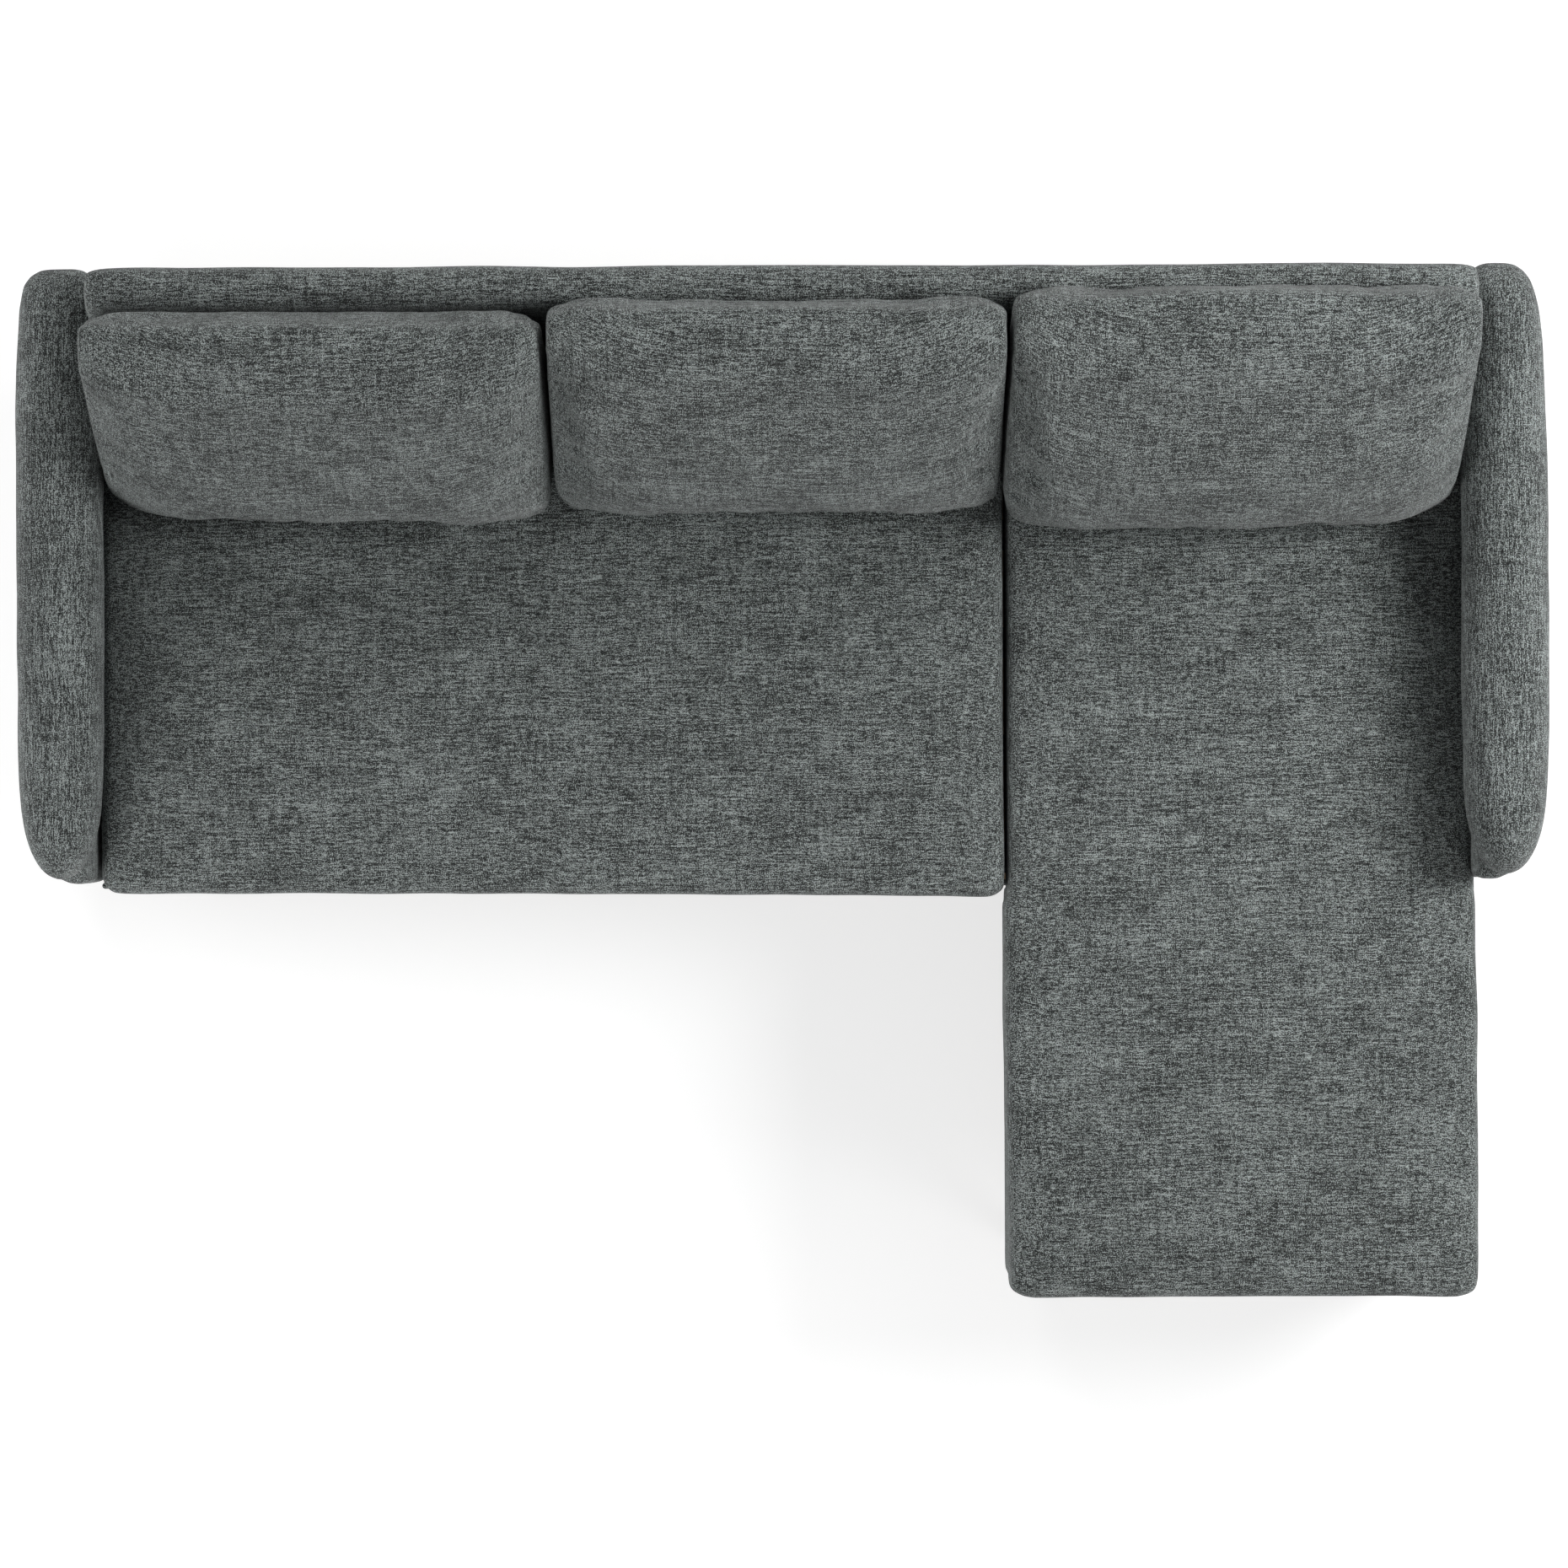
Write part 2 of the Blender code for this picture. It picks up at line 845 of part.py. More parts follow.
def zip_axes(point):
    """A zip's own axes on the leaning rear faces: along X, down the slope, and out of the face."""
    run = Vector((1, 0, 0))
    down = Vector((0, -back_lean_share, -1)).normalized()
    out = run.cross(down)
    turn = Matrix((run, down, out)).transposed().to_4x4()
    return Matrix.Translation(point) @ turn


def build_zip(name, cover, fill, point, length):
    """A straight zip mouth in a cover, the relief in the fill behind it, and the slider that runs in it."""
    axes = zip_axes(point)
    mouth = as_cutter(
        add_mesh_object(
            name + "_mouth",
            box_form((length, zip_mouth_width, 2 * (fabric_thickness + slider_plate))),
            None,
            cutters,
        )
    )
    mouth.matrix_world = axes
    add_cut(cover, mouth)
    relief = as_cutter(
        add_mesh_object(
            name + "_relief",
            box_form((length, relief_width, 2 * relief_depth)),
            None,
            cutters,
        )
    )
    relief.matrix_world = axes
    add_cut(fill, relief)
    start = length / 2 - zip_end_margin - slider_length / 2
    place = axes @ Matrix.Translation((start, 0, 0))
    build_slider(name, place)


def build_slider(name, place):
    """A zip slider: a plate outside the fabric, one inside, a neck between them and a pull."""
    plate = (slider_length, slider_width, slider_plate)
    neck_height = fabric_thickness + 2 * slider_play + 2 * pull_sink
    outer_z = slider_play + slider_plate / 2
    inner_z = -fabric_thickness - slider_play - slider_plate / 2
    pull_x = slider_length / 2 - pull_lap + pull_length / 2
    pull_z = slider_play + slider_plate - pull_sink + pull_thickness / 2
    slider = add_mesh_object(name + "_slider", box_form(plate), steel)
    slider.matrix_world = place @ Matrix.Translation((0, 0, outer_z))
    pieces = {
        "_neck": (
            (slider_length - 2 * pull_sink, slider_neck, neck_height),
            (0, 0, -fabric_thickness / 2),
        ),
        "_inner_plate": (plate, (0, 0, inner_z)),
        "_pull": ((pull_length, pull_width, pull_thickness), (pull_x, 0, pull_z)),
    }
    for ending, (size, middle) in pieces.items():
        piece = add_mesh_object(name + ending, box_form(size), None, cutters)
        piece.matrix_world = place @ Matrix.Translation(middle)
        add_cut(slider, as_cutter(piece), "UNION")


def pad_form(left, right, front, crown_shares):
    """A seat pad: flat below and where the back cushions stand, crowned in front of them."""
    rear_low = back_front_y(pad_bottom) - pad_back_gap
    length = rear_low - front
    cushion_front_y = back_front_y(pad_top) - cushion_back_gap - cushion_thickness
    stand_share = (cushion_front_y - front) / length
    deep_shares = edge_shares(length, pad_edge_reach, (*crown_shares, stand_share))
    across_shares = rounded(edge_shares(right - left, pad_edge_reach, (half_share,)))
    crown_rows = rounded(crown_shares)

    def place(across, deep, high):
        height = pad_bottom + pad_thickness * high
        rear = back_front_y(height) - pad_back_gap
        if high == 1 and deep in crown_rows and 0 < across < 1:
            height += pad_crown * (1 if across == half_share else pad_crown_side_share)
        return Vector((blend(left, right, across), blend(front, rear, deep), height))

    return soft_form(across_shares, rounded(deep_shares), (0, half_share, 1), place)


def build_pad(name, left, right, front, crown_shares, zip_side_gap):
    """A foam core in a cover with a zip along its rear side."""
    cover = add_soft(name + "_cover", pad_form(left, right, front, crown_shares), charcoal_fabric)
    add_skin(cover)
    core = add_soft(name + "_core", pad_form(left, right, front, crown_shares), foam)
    add_shrink(core)
    middle = pad_bottom + pad_thickness / 2
    point = ((left + right) / 2, back_front_y(middle) - pad_back_gap, middle)
    build_zip(name + "_zip", cover, core, point, right - left - 2 * zip_side_gap)


def build_pads():
    build_pad(
        "bench_pad",
        -arm_inner_x + bench_side_gap,
        seam_x - seam_gap / 2,
        sofa_front_y - pad_overhang,
        bench_crown_shares,
        bench_zip_side_gap,
    )
    build_pad(
        "chaise_pad",
        chaise_left_x,
        chaise_right_x,
        chaise_front_y,
        chaise_crown_shares,
        chaise_zip_side_gap,
    )


def cushion_form(left, right):
    """A back cushion: flat below and behind, crowned in front, drawn in at its sides and corners."""
    bottom = pad_top + touch_gap
    across_shares = rounded(edge_shares(right - left, cushion_edge_reach, (half_share,)))
    levels = len(cushion_high_shares) - 1

    def place(across, deep, high):
        level = round(high * levels)
        swell = bulge(across)
        height = blend(bottom, cushion_top_height, high)
        rear = back_front_y(height) - cushion_back_gap
        thick = (cushion_thickness - cushion_crown + cushion_crown * swell) * (
            cushion_thickness_shares[level]
        )
        if high == 1:
            height += cushion_top_crown * swell
        draw = 0
        if across in (0, 1):
            draw = cushion_side_draw * bulge(high)
            if high == 0:
                draw = cushion_foot_draw
        x = blend(left, right, across) + (draw if across < half_share else -draw)
        return Vector((x, rear - thick * (1 - deep), height))

    return soft_form(across_shares, (0, half_share, 1), cushion_high_shares, place)


def build_cushions():
    """Three loose back cushions, each a fibre fill in a zipped cover."""
    inner = roll_inner_x - cushion_arm_gap
    split = seam_x - cushion_gap
    width = (split + inner) / 2
    starts = (-inner, -inner + width, split)
    ends = (-inner + width, split, inner)
    for index, (start, end) in enumerate(zip(starts, ends), 1):
        left = start + cushion_gap / 2
        right = end - cushion_gap / 2
        name = f"back_cushion_{index}"
        cover = add_soft(name + "_cover", cushion_form(left, right), charcoal_fabric)
        add_skin(cover)
        fill = add_soft(name + "_fill", cushion_form(left, right), foam)
        add_shrink(fill)
        level = blend(pad_top + touch_gap, cushion_top_height, cushion_high_shares[1])
        height = level + slider_width / 2 + cushion_zip_rise
        point = ((left + right) / 2, back_front_y(height) - cushion_back_gap, height)
        zip_length = right - left - 2 * cushion_zip_side_gap
        build_zip(name + "_zip", cover, fill, point, zip_length)


def build_pin(name, x, y):
    """A shouldered pin under a rail: a collar, a shank and a flat head."""
    collar_bottom = -pin_collar_thickness
    head_top = collar_bottom - hook_thickness - 2 * pin_play
    head_bottom = head_top - pin_head_thickness
    profile = (
        (0, 0),
        (pin_head_radius, 0),
        (pin_head_radius, collar_bottom),
        (pin_radius, collar_bottom),
        (pin_radius, head_top),
        (pin_head_radius, head_top),
        (pin_head_radius, head_bottom),
        (0, head_bottom),
    )
    form = bmesh.new()
    points = [form.verts.new((radius, 0, height)) for radius, height in profile]
    for start, end in zip(points, points[1:]):
        form.edges.new((start, end))
    pin = add_mesh_object(name, form, steel)
    turn = pin.modifiers.new("turned", "SCREW")
    turn.steps = pin_sides
    turn.render_steps = pin_sides
    turn.use_merge_vertices = True
    turn.merge_threshold = weld_distance
    pin.location = (x, y, leg_height - touch_gap)


def arc(radius, start, end, steps, middle=(0, 0)):
    """Points on an arc, angles in degrees."""
    points = []
    for step in range(steps + 1):
        angle = math.radians(blend(start, end, step / steps))
        x = middle[0] + radius * math.cos(angle)
        y = middle[1] + radius * math.sin(angle)
        points.append((x, y))
    return points


def build_hook(name, x, pivot_y, catch_y):
    """A flat hook that swings on one pin and catches the other in an open slot."""
    reach = catch_y - pivot_y
    outline = arc(hook_half_width, 180, 360, hook_round_steps)
    outline += arc(hook_half_width, 0, 180, hook_round_steps, (0, reach))
    height = (
        leg_height - touch_gap - pin_collar_thickness - pin_play - hook_thickness / 2
    )
    plate = add_outline(name, outline, hook_thickness)
    plate.location = (x, pivot_y, height)
    hook = as_mesh(plate)
    hook.data.materials.clear()
    hook.data.materials.append(steel)
    hole = pin_radius + pin_play
    depth = hook_thickness + cutter_overrun
    form = bmesh.new()
    bmesh.ops.create_cone(
        form,
        cap_ends=True,
        segments=pin_sides,
        radius1=hole,
        radius2=hole,
        depth=depth,
    )
    bore = as_cutter(add_mesh_object(name + "_bore", form, None, cutters))
    bore.location = (x, pivot_y, height)
    bore.rotation_euler.z = math.pi / pin_sides
    add_cut(hook, bore)
    open_angle = math.degrees(hook_slot_reach_share)
    slot_outline = arc(reach + hole, 90 - open_angle, 90, hook_slot_steps)
    slot_outline += arc(hole, 90, 270, hook_slot_steps, (0, reach))[1:-1]
    slot_outline += arc(reach - hole, 90, 90 - open_angle, hook_slot_steps)
    slot = add_outline(name + "_slot", slot_outline, depth, None, cutters)
    slot.location = (x, pivot_y, height)
    add_cut(hook, as_cutter(as_mesh(slot)))


def build_hooks():
    """Each hook hangs under the chaise's rear rail and catches a pin under the sofa's front rail."""
    catch_y = front_rail_front_y + pin_from_rail_face
    chaise_rail_rear_y = chaise_base_rear_y - border_thickness - touch_gap
    pivot_y = chaise_rail_rear_y - pin_from_rail_face
    for index, x in enumerate(hook_xs, 1):
        build_pin(f"hook_pivot_pin_{index}", x, pivot_y)
        build_pin(f"hook_catch_pin_{index}", x, catch_y)
        build_hook(f"chaise_hook_{index}", x, pivot_y, catch_y)


build_sofa_base()
build_chaise_base()
for arm_side in (-1, 1):
    build_arm(arm_side)
build_back()
build_pads()
build_cushions()
build_hooks()
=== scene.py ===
# %% [markdown]
# # A sofa with a long seat at one end, dressed for a straight-down picture
#
# The hard frame of this sofa is finished elsewhere: rails, posts, legs, hooks and zip sliders.
# This lesson adds what a visitor sees, which is cloth over foam and fibre. Each pad and cushion
# is made as a soft body of its own, and each material is made of nodes.

import math

import bmesh
import bpy
import numpy as np
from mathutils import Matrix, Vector, noise
from mathutils.bvhtree import BVHTree


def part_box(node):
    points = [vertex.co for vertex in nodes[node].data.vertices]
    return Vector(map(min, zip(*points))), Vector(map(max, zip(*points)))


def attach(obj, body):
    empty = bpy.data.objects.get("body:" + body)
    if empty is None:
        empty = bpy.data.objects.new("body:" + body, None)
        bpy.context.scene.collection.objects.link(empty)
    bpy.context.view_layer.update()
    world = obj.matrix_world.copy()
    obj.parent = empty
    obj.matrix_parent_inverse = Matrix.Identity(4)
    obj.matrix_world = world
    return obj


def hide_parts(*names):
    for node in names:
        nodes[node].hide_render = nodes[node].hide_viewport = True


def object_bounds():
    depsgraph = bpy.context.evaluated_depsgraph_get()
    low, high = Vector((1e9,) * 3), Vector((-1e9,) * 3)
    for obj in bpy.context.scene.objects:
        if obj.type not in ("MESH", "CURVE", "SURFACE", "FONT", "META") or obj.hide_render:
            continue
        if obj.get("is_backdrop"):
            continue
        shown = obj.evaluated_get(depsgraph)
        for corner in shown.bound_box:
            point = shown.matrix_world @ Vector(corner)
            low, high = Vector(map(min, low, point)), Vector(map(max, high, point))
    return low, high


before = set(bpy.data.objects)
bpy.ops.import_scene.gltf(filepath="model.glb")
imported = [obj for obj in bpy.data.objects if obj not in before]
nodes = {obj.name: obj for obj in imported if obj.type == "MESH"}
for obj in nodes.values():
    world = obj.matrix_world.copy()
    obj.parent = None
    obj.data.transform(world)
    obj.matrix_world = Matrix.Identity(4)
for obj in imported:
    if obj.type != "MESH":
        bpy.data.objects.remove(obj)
cad_box = [list(map(float, corner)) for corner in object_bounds()]
print("pieces in the frame:", len(nodes))
print("frame box:", [[round(value, 3) for value in corner] for corner in cad_box])

# %% [markdown]
# ## Small helpers for shader nodes
#
# A material in Blender is a graph, and a lesson is easier to read where short helpers add a node,
# a sum or a step, and start a group with named sockets. A group is a reusable effect: threads,
# grain and relief are made once and used by several materials.


# %% Add a node, or a piece of arithmetic
def configure(thing, settings):
    for title, setting in settings.items():
        setattr(thing, title, setting)


def fill_sockets(tree, node, values):
    """Links each value that is another node's output, and sets any other. Colours are opaque."""
    for title, value in values.items():
        socket = node.inputs[title]
        if isinstance(value, bpy.types.NodeSocket):
            tree.links.new(value, socket)
        else:
            socket.default_value = (*value, 1.0) if socket.type == "RGBA" else value


def add_node(tree, kind, values=None, **settings):
    """A shader node with its settings made and its sockets filled."""
    made = tree.nodes.new("ShaderNode" + kind)
    configure(made, settings)
    fill_sockets(tree, made, values or {})
    return made


def sums(tree, operation, first, second=0.0):
    values = {0: first, 1: second}
    return add_node(tree, "Math", values, operation=operation).outputs[0]


def ramp(tree, value, low, high, start=0.0, end=1.0, kind="SMOOTHSTEP"):
    """A step, soft unless its kind is LINEAR: start below low, end above high."""
    values = {"Value": value, "From Min": low, "From Max": high, "To Min": start, "To Max": end}
    return add_node(tree, "MapRange", values, interpolation_type=kind).outputs["Result"]


def mix_colours(tree, share, first, second):
    """A Mix node keeps its colours in sockets 6 and 7 and gives them out at 2."""
    values = {0: share, 6: first, 7: second}
    return add_node(tree, "Mix", values, data_type="RGBA").outputs[2]


def mix_numbers(tree, share, first, second):
    values = {0: share, 2: first, 3: second}
    return add_node(tree, "Mix", values, data_type="FLOAT").outputs[0]


# %% Start a node group with named sockets
number = "NodeSocketFloat"
colour = "NodeSocketColor"
vector = "NodeSocketVector"


def new_group(name, inputs, outputs):
    """A group's tree, what comes in and what goes out, each given as title: kind."""
    tree = bpy.data.node_groups.new(name, "ShaderNodeTree")
    for way, sockets in (("INPUT", inputs), ("OUTPUT", outputs)):
        for title, kind in sockets.items():
            tree.interface.new_socket(title, in_out=way, socket_type=kind)
    come_in = tree.nodes.new("NodeGroupInput").outputs
    go_out = tree.nodes.new("NodeGroupOutput").inputs
    return tree, come_in, go_out


def use_group(tree, group, values):
    return add_node(tree, "Group", values, node_tree=group).outputs


def divided(tree, place, sizes):
    """A place measured in units of these sizes, one for each axis."""
    values = {0: place, 1: sizes}
    return add_node(tree, "VectorMath", values, operation="DIVIDE").outputs[0]


def noise_at(tree, place, sizes=None, detail=2.0, roughness=0.5):
    """Noise with features this wide along each axis, or one unit wide."""
    place = place if sizes is None else divided(tree, place, sizes)
    values = {"Vector": place, "Scale": 1.0, "Detail": detail, "Roughness": roughness}
    return add_node(tree, "TexNoise", values).outputs[0]


# %% [markdown]
# ## Which way the cloth runs
#
# The sofa's cloth is a plain weave with thick and thin yarns. On the seat, the back and the
# cushions the thick yarns run across the sofa, and on the arms they run from front to back.
# Where a panel faces along its own yarns, the sewer turns the cloth, so the group does the same.
# A face counts as an end from 0.74 of a straight look along the yarns, and as upright where its
# normal rises less than 0.62.


# %% Group: cloth lanes
lanes, come_in, go_out = new_group(
    "cloth lanes",
    {"Place": vector, "Facing": vector, "Front To Back": number},
    {"Lane": vector, "Weave Place": vector},
)
place = add_node(lanes, "SeparateXYZ", {0: come_in["Place"]}).outputs
facing = add_node(lanes, "SeparateXYZ", {0: come_in["Facing"]}).outputs
face_x = sums(lanes, "ABSOLUTE", facing["X"])
face_y = sums(lanes, "ABSOLUTE", facing["Y"])
face_z = sums(lanes, "ABSOLUTE", facing["Z"])
along_yarn = mix_numbers(lanes, come_in["Front To Back"], face_x, face_y)
end_face = 0.74
upright_face = 0.62
turned = sums(lanes, "GREATER_THAN", along_yarn, end_face)
swapped = sums(lanes, "ABSOLUTE", sums(lanes, "SUBTRACT", come_in["Front To Back"], turned))
run = mix_numbers(lanes, swapped, place["X"], place["Y"])
side = mix_numbers(lanes, swapped, place["Y"], place["X"])
upright = sums(lanes, "LESS_THAN", face_z, upright_face)
rise = mix_numbers(lanes, upright, side, place["Z"])
lane = add_node(lanes, "CombineXYZ", {"X": run, "Y": side, "Z": place["Z"]})
weave_place = add_node(lanes, "CombineXYZ", {"X": run, "Y": rise})
lanes.links.new(lane.outputs[0], go_out["Lane"])
lanes.links.new(weave_place.outputs[0], go_out["Weave Place"])
print("group:", lanes.name, "with", len(lanes.nodes), "nodes")

# %% [markdown]
# On a full cushion the yarns do not stay straight: towards its sides they curve up the slope.
# Each cushion carries a number on its points, the drape, which says how far. The group moves the
# place down the slope by that much, so that the yarns come out curved. Elsewhere it is zero.

# %% Group: draped place
draped, come_in, go_out = new_group(
    "draped place",
    {"Place": vector, "Facing": vector, "Drape": number},
    {"Place": vector},
)
facing = add_node(draped, "SeparateXYZ", {0: come_in["Facing"]}).outputs
down = sums(draped, "MULTIPLY", facing["Y"], -1.0)
slope = add_node(draped, "CombineXYZ", {"Y": facing["Z"], "Z": down})
slope = add_node(draped, "VectorMath", {0: slope.outputs[0]}, operation="NORMALIZE").outputs[0]
amount = {0: slope, "Scale": come_in["Drape"]}
shift = add_node(draped, "VectorMath", amount, operation="SCALE").outputs[0]
moved = add_node(draped, "VectorMath", {0: come_in["Place"], 1: shift}, operation="SUBTRACT")
draped.links.new(moved.outputs[0], go_out["Place"])
print("group:", draped.name, "with", len(draped.nodes), "nodes")

# %% [markdown]
# ## The heathered colour
#
# Seen close, the charcoal cloth is a mix of near-black, grey-green and pale yarns. The pale ones
# are slubs: short thick stretches, two to five centimetres long and about two millimetres wide.
# Stretched noise gives such flecks, one layer for each yarn direction, and a fine grain between.

# %% Group: heathered yarns
heather, come_in, go_out = new_group(
    "heathered yarns",
    {
        "Lane": vector,
        "Weave Place": vector,
        "Ground": colour,
        "Dark Yarn": colour,
        "Pale Yarn": colour,
        "Fleck Contrast": number,
    },
    {"Colour": colour, "Thickness": number},
)
layers = (
    ("Lane", (0.045, 0.0021, 0.0021), 2.0, 0.95),
    ("Lane", (0.008, 0.0022, 0.0022), 2.0, 1.15),
    ("Weave Place", (0.0017, 0.007, 1.0), 1.0, 0.65),
    ("Weave Place", (0.007, 0.055, 1.0), 2.0, 0.42),
    ("Weave Place", (0.0016, 0.0016, 1.0), 1.0, 2.20),
    ("Lane", (0.110, 0.060, 0.060), 2.0, 0.28),
)
level = 0.0
for source, sizes, detail, weight in layers:
    layer = noise_at(heather, come_in[source], sizes, detail, 0.6)
    part = sums(heather, "MULTIPLY", sums(heather, "SUBTRACT", layer, 0.5), weight)
    level = sums(heather, "ADD", part, level)
level = sums(heather, "MULTIPLY", level, come_in["Fleck Contrast"])
dark_share = ramp(heather, level, -0.80, -0.05, 1.0, 0.0, "LINEAR")
pale_share = ramp(heather, level, -0.14, 0.80, 0.0, 1.0, "LINEAR")
pale_share = sums(heather, "POWER", pale_share, 1.6)
base = mix_colours(heather, dark_share, come_in["Ground"], come_in["Dark Yarn"])
mixed = mix_colours(heather, pale_share, base, come_in["Pale Yarn"])
heather.links.new(mixed, go_out["Colour"])
heather.links.new(ramp(heather, level, -0.4, 0.5), go_out["Thickness"])
print("group:", heather.name, "with", len(heather.nodes), "nodes")

# %% [markdown]
# ## The weave's relief
#
# In a plain weave each yarn goes over one and under the next. Two rows of rounded ridges, chosen
# square by square like a chessboard, give that height. It feeds a bump, which is enough at this
# size: two yarns of a millimetre each would need millions of faces.

# %% Group: plain weave relief
weave, come_in, go_out = new_group(
    "plain weave relief",
    {"Weave Place": vector, "Yarn Pitch": number},
    {"Height": number},
)
flat = add_node(weave, "SeparateXYZ", {0: come_in["Weave Place"]}).outputs
ridges = []
squares = []
for axis in ("X", "Y"):
    count = sums(weave, "DIVIDE", flat[axis], come_in["Yarn Pitch"])
    wave = sums(weave, "SINE", sums(weave, "MULTIPLY", count, math.pi))
    ridges.append(sums(weave, "ABSOLUTE", wave))
    squares.append(sums(weave, "FLOOR", count))
board = sums(weave, "FLOORED_MODULO", sums(weave, "ADD", *squares), 2.0)
weave.links.new(mix_numbers(weave, board, *ridges), go_out["Height"])
print("group:", weave.name, "with", len(weave.nodes), "nodes")


# %% [markdown]
# ## The charcoal cloth
#
# One function makes the cloth for both directions, so that every panel comes off the same roll.
# The shine of cloth is a faint sheen at grazing angles, and its roughness is high everywhere.


# %% Cloth off the same roll
def new_material(name):
    """A material, its tree, its shader, and where a point lies on the piece and how it faces."""
    material = bpy.data.materials.new(name)
    material.use_nodes = True
    tree = material.node_tree
    about = add_node(tree, "TexCoord").outputs
    return material, tree, tree.nodes["Principled BSDF"], about["Object"], about["Normal"]


def finish_shader(tree, shader, tone, roughness, height, strength, distance):
    """Joins a colour, a roughness and a bump to a shader."""
    bump = add_node(tree, "Bump", {"Strength": strength, "Distance": distance, "Height": height})
    joined = {"Base Color": tone, "Roughness": roughness, "Normal": bump.outputs["Normal"]}
    fill_sockets(tree, shader, joined)


cloth_look = {
    "Ground": (0.0395, 0.0443, 0.0430),
    "Dark Yarn": (0.0085, 0.0098, 0.0096),
    "Pale Yarn": (0.350, 0.387, 0.378),
    "Fleck Contrast": 2.9,
}
yarn_pitch = 0.0022
wander_size = 0.16
wander_reach = 0.008


def charcoal_cloth(name, front_to_back):
    material, tree, shader, spot, facing = new_material(name)
    wander = noise_at(tree, spot, (wander_size,) * 3, 1.0)
    shift = sums(tree, "MULTIPLY", sums(tree, "SUBTRACT", wander, 0.5), wander_reach)
    eased = add_node(tree, "VectorMath", {0: spot, 1: shift}, operation="ADD").outputs[0]
    drape = add_node(tree, "Attribute", attribute_name="drape").outputs["Fac"]
    eased = use_group(tree, draped, {"Place": eased, "Facing": facing, "Drape": drape})["Place"]
    values = {"Place": eased, "Facing": facing, "Front To Back": front_to_back}
    lane = use_group(tree, lanes, values)
    woven = {"Weave Place": lane["Weave Place"]}
    yarns = use_group(tree, heather, {"Lane": lane["Lane"], **woven, **cloth_look})
    relief = use_group(tree, weave, {"Yarn Pitch": yarn_pitch, **woven})
    height = mix_numbers(tree, 0.45, yarns["Thickness"], relief["Height"])
    rough = ramp(tree, yarns["Thickness"], 0.0, 1.0, 0.96, 0.84)
    finish_shader(tree, shader, yarns["Colour"], rough, height, strength=0.55, distance=0.0007)
    shine = {"Sheen Weight": 0.16, "Sheen Roughness": 0.55, "Specular IOR Level": 0.25}
    fill_sockets(tree, shader, shine)
    return material


cloth_across = charcoal_cloth("charcoal cloth, yarns across", 0.0)
cloth_along = charcoal_cloth("charcoal cloth, yarns front to back", 1.0)
print("cloths:", cloth_across.name, "and", cloth_along.name)

# %% [markdown]
# ## Timber, board, leg wood, zinc, lining and webbing
#
# The frame is plain sawn softwood and the back has a thin pressed board. The legs are dark
# stained beech. All three share one grain group: long stretched noise, bent a little, with fine
# pores. It takes its own colours and lengths in each material.

# %% Group: wood grain
wood, come_in, go_out = new_group(
    "wood grain",
    {"Place": vector, "Stretch": vector, "Early Wood": colour, "Late Wood": colour},
    {"Colour": colour, "Pores": number},
)
along = divided(wood, come_in["Place"], come_in["Stretch"])
bend = noise_at(wood, along, detail=3.0, roughness=0.55)
bands = sums(wood, "SINE", sums(wood, "MULTIPLY", bend, 42.0))
rings = ramp(wood, bands, -0.9, 1.0)
fine = add_node(wood, "VectorMath", {0: along, 1: (3.0, 14.0, 14.0)}, operation="MULTIPLY")
pores = ramp(wood, noise_at(wood, fine.outputs[0]), 0.40, 0.62)
pored = sums(wood, "ADD", 0.6, sums(wood, "MULTIPLY", pores, 0.4))
shade = sums(wood, "MULTIPLY", rings, pored)
grained = mix_colours(wood, shade, come_in["Late Wood"], come_in["Early Wood"])
wood.links.new(grained, go_out["Colour"])
wood.links.new(pores, go_out["Pores"])
print("group:", wood.name, "with", len(wood.nodes), "nodes")


# %% Wood in its own colours
def wooden(name, stretch, early, late, roughness, coat=0.0):
    material, tree, shader, spot, _ = new_material(name)
    values = {"Place": spot, "Stretch": stretch, "Early Wood": early, "Late Wood": late}
    grain = use_group(tree, wood, values)
    rough = ramp(tree, grain["Pores"], 0.0, 1.0, roughness + 0.12, roughness)
    pores = grain["Pores"]
    finish_shader(tree, shader, grain["Colour"], rough, pores, strength=0.3, distance=0.0004)
    fill_sockets(tree, shader, {"Coat Weight": coat, "Coat Roughness": 0.25})
    return material


pine_colours = ((0.60, 0.42, 0.24), (0.42, 0.26, 0.13))
long, thin = 0.35, 0.016
timber_along_x = wooden("sawn timber, grain across", (long, thin, thin), *pine_colours, 0.7)
timber_along_y = wooden("sawn timber, grain deep", (thin, long, thin), *pine_colours, 0.7)
timber_upright = wooden("sawn timber, grain upright", (thin, thin, long), *pine_colours, 0.7)
board_colours = ((0.34, 0.24, 0.15), (0.27, 0.18, 0.11))
pressed_board = wooden("pressed board", (0.004, 0.004, 0.003), *board_colours, 0.65)
leg_colours = ((0.060, 0.034, 0.020), (0.026, 0.014, 0.009))
leg_wood = wooden("dark stained beech", (0.010, 0.010, 0.22), *leg_colours, 0.38, 0.35)
print("woods:", timber_along_x.name, pressed_board.name, leg_wood.name)

# %% [markdown]
# The hooks, pins and zip sliders are zinc-plated steel. Zinc is a bluish metal with cloudy
# patches, a little rougher where hands and screws have rubbed it.

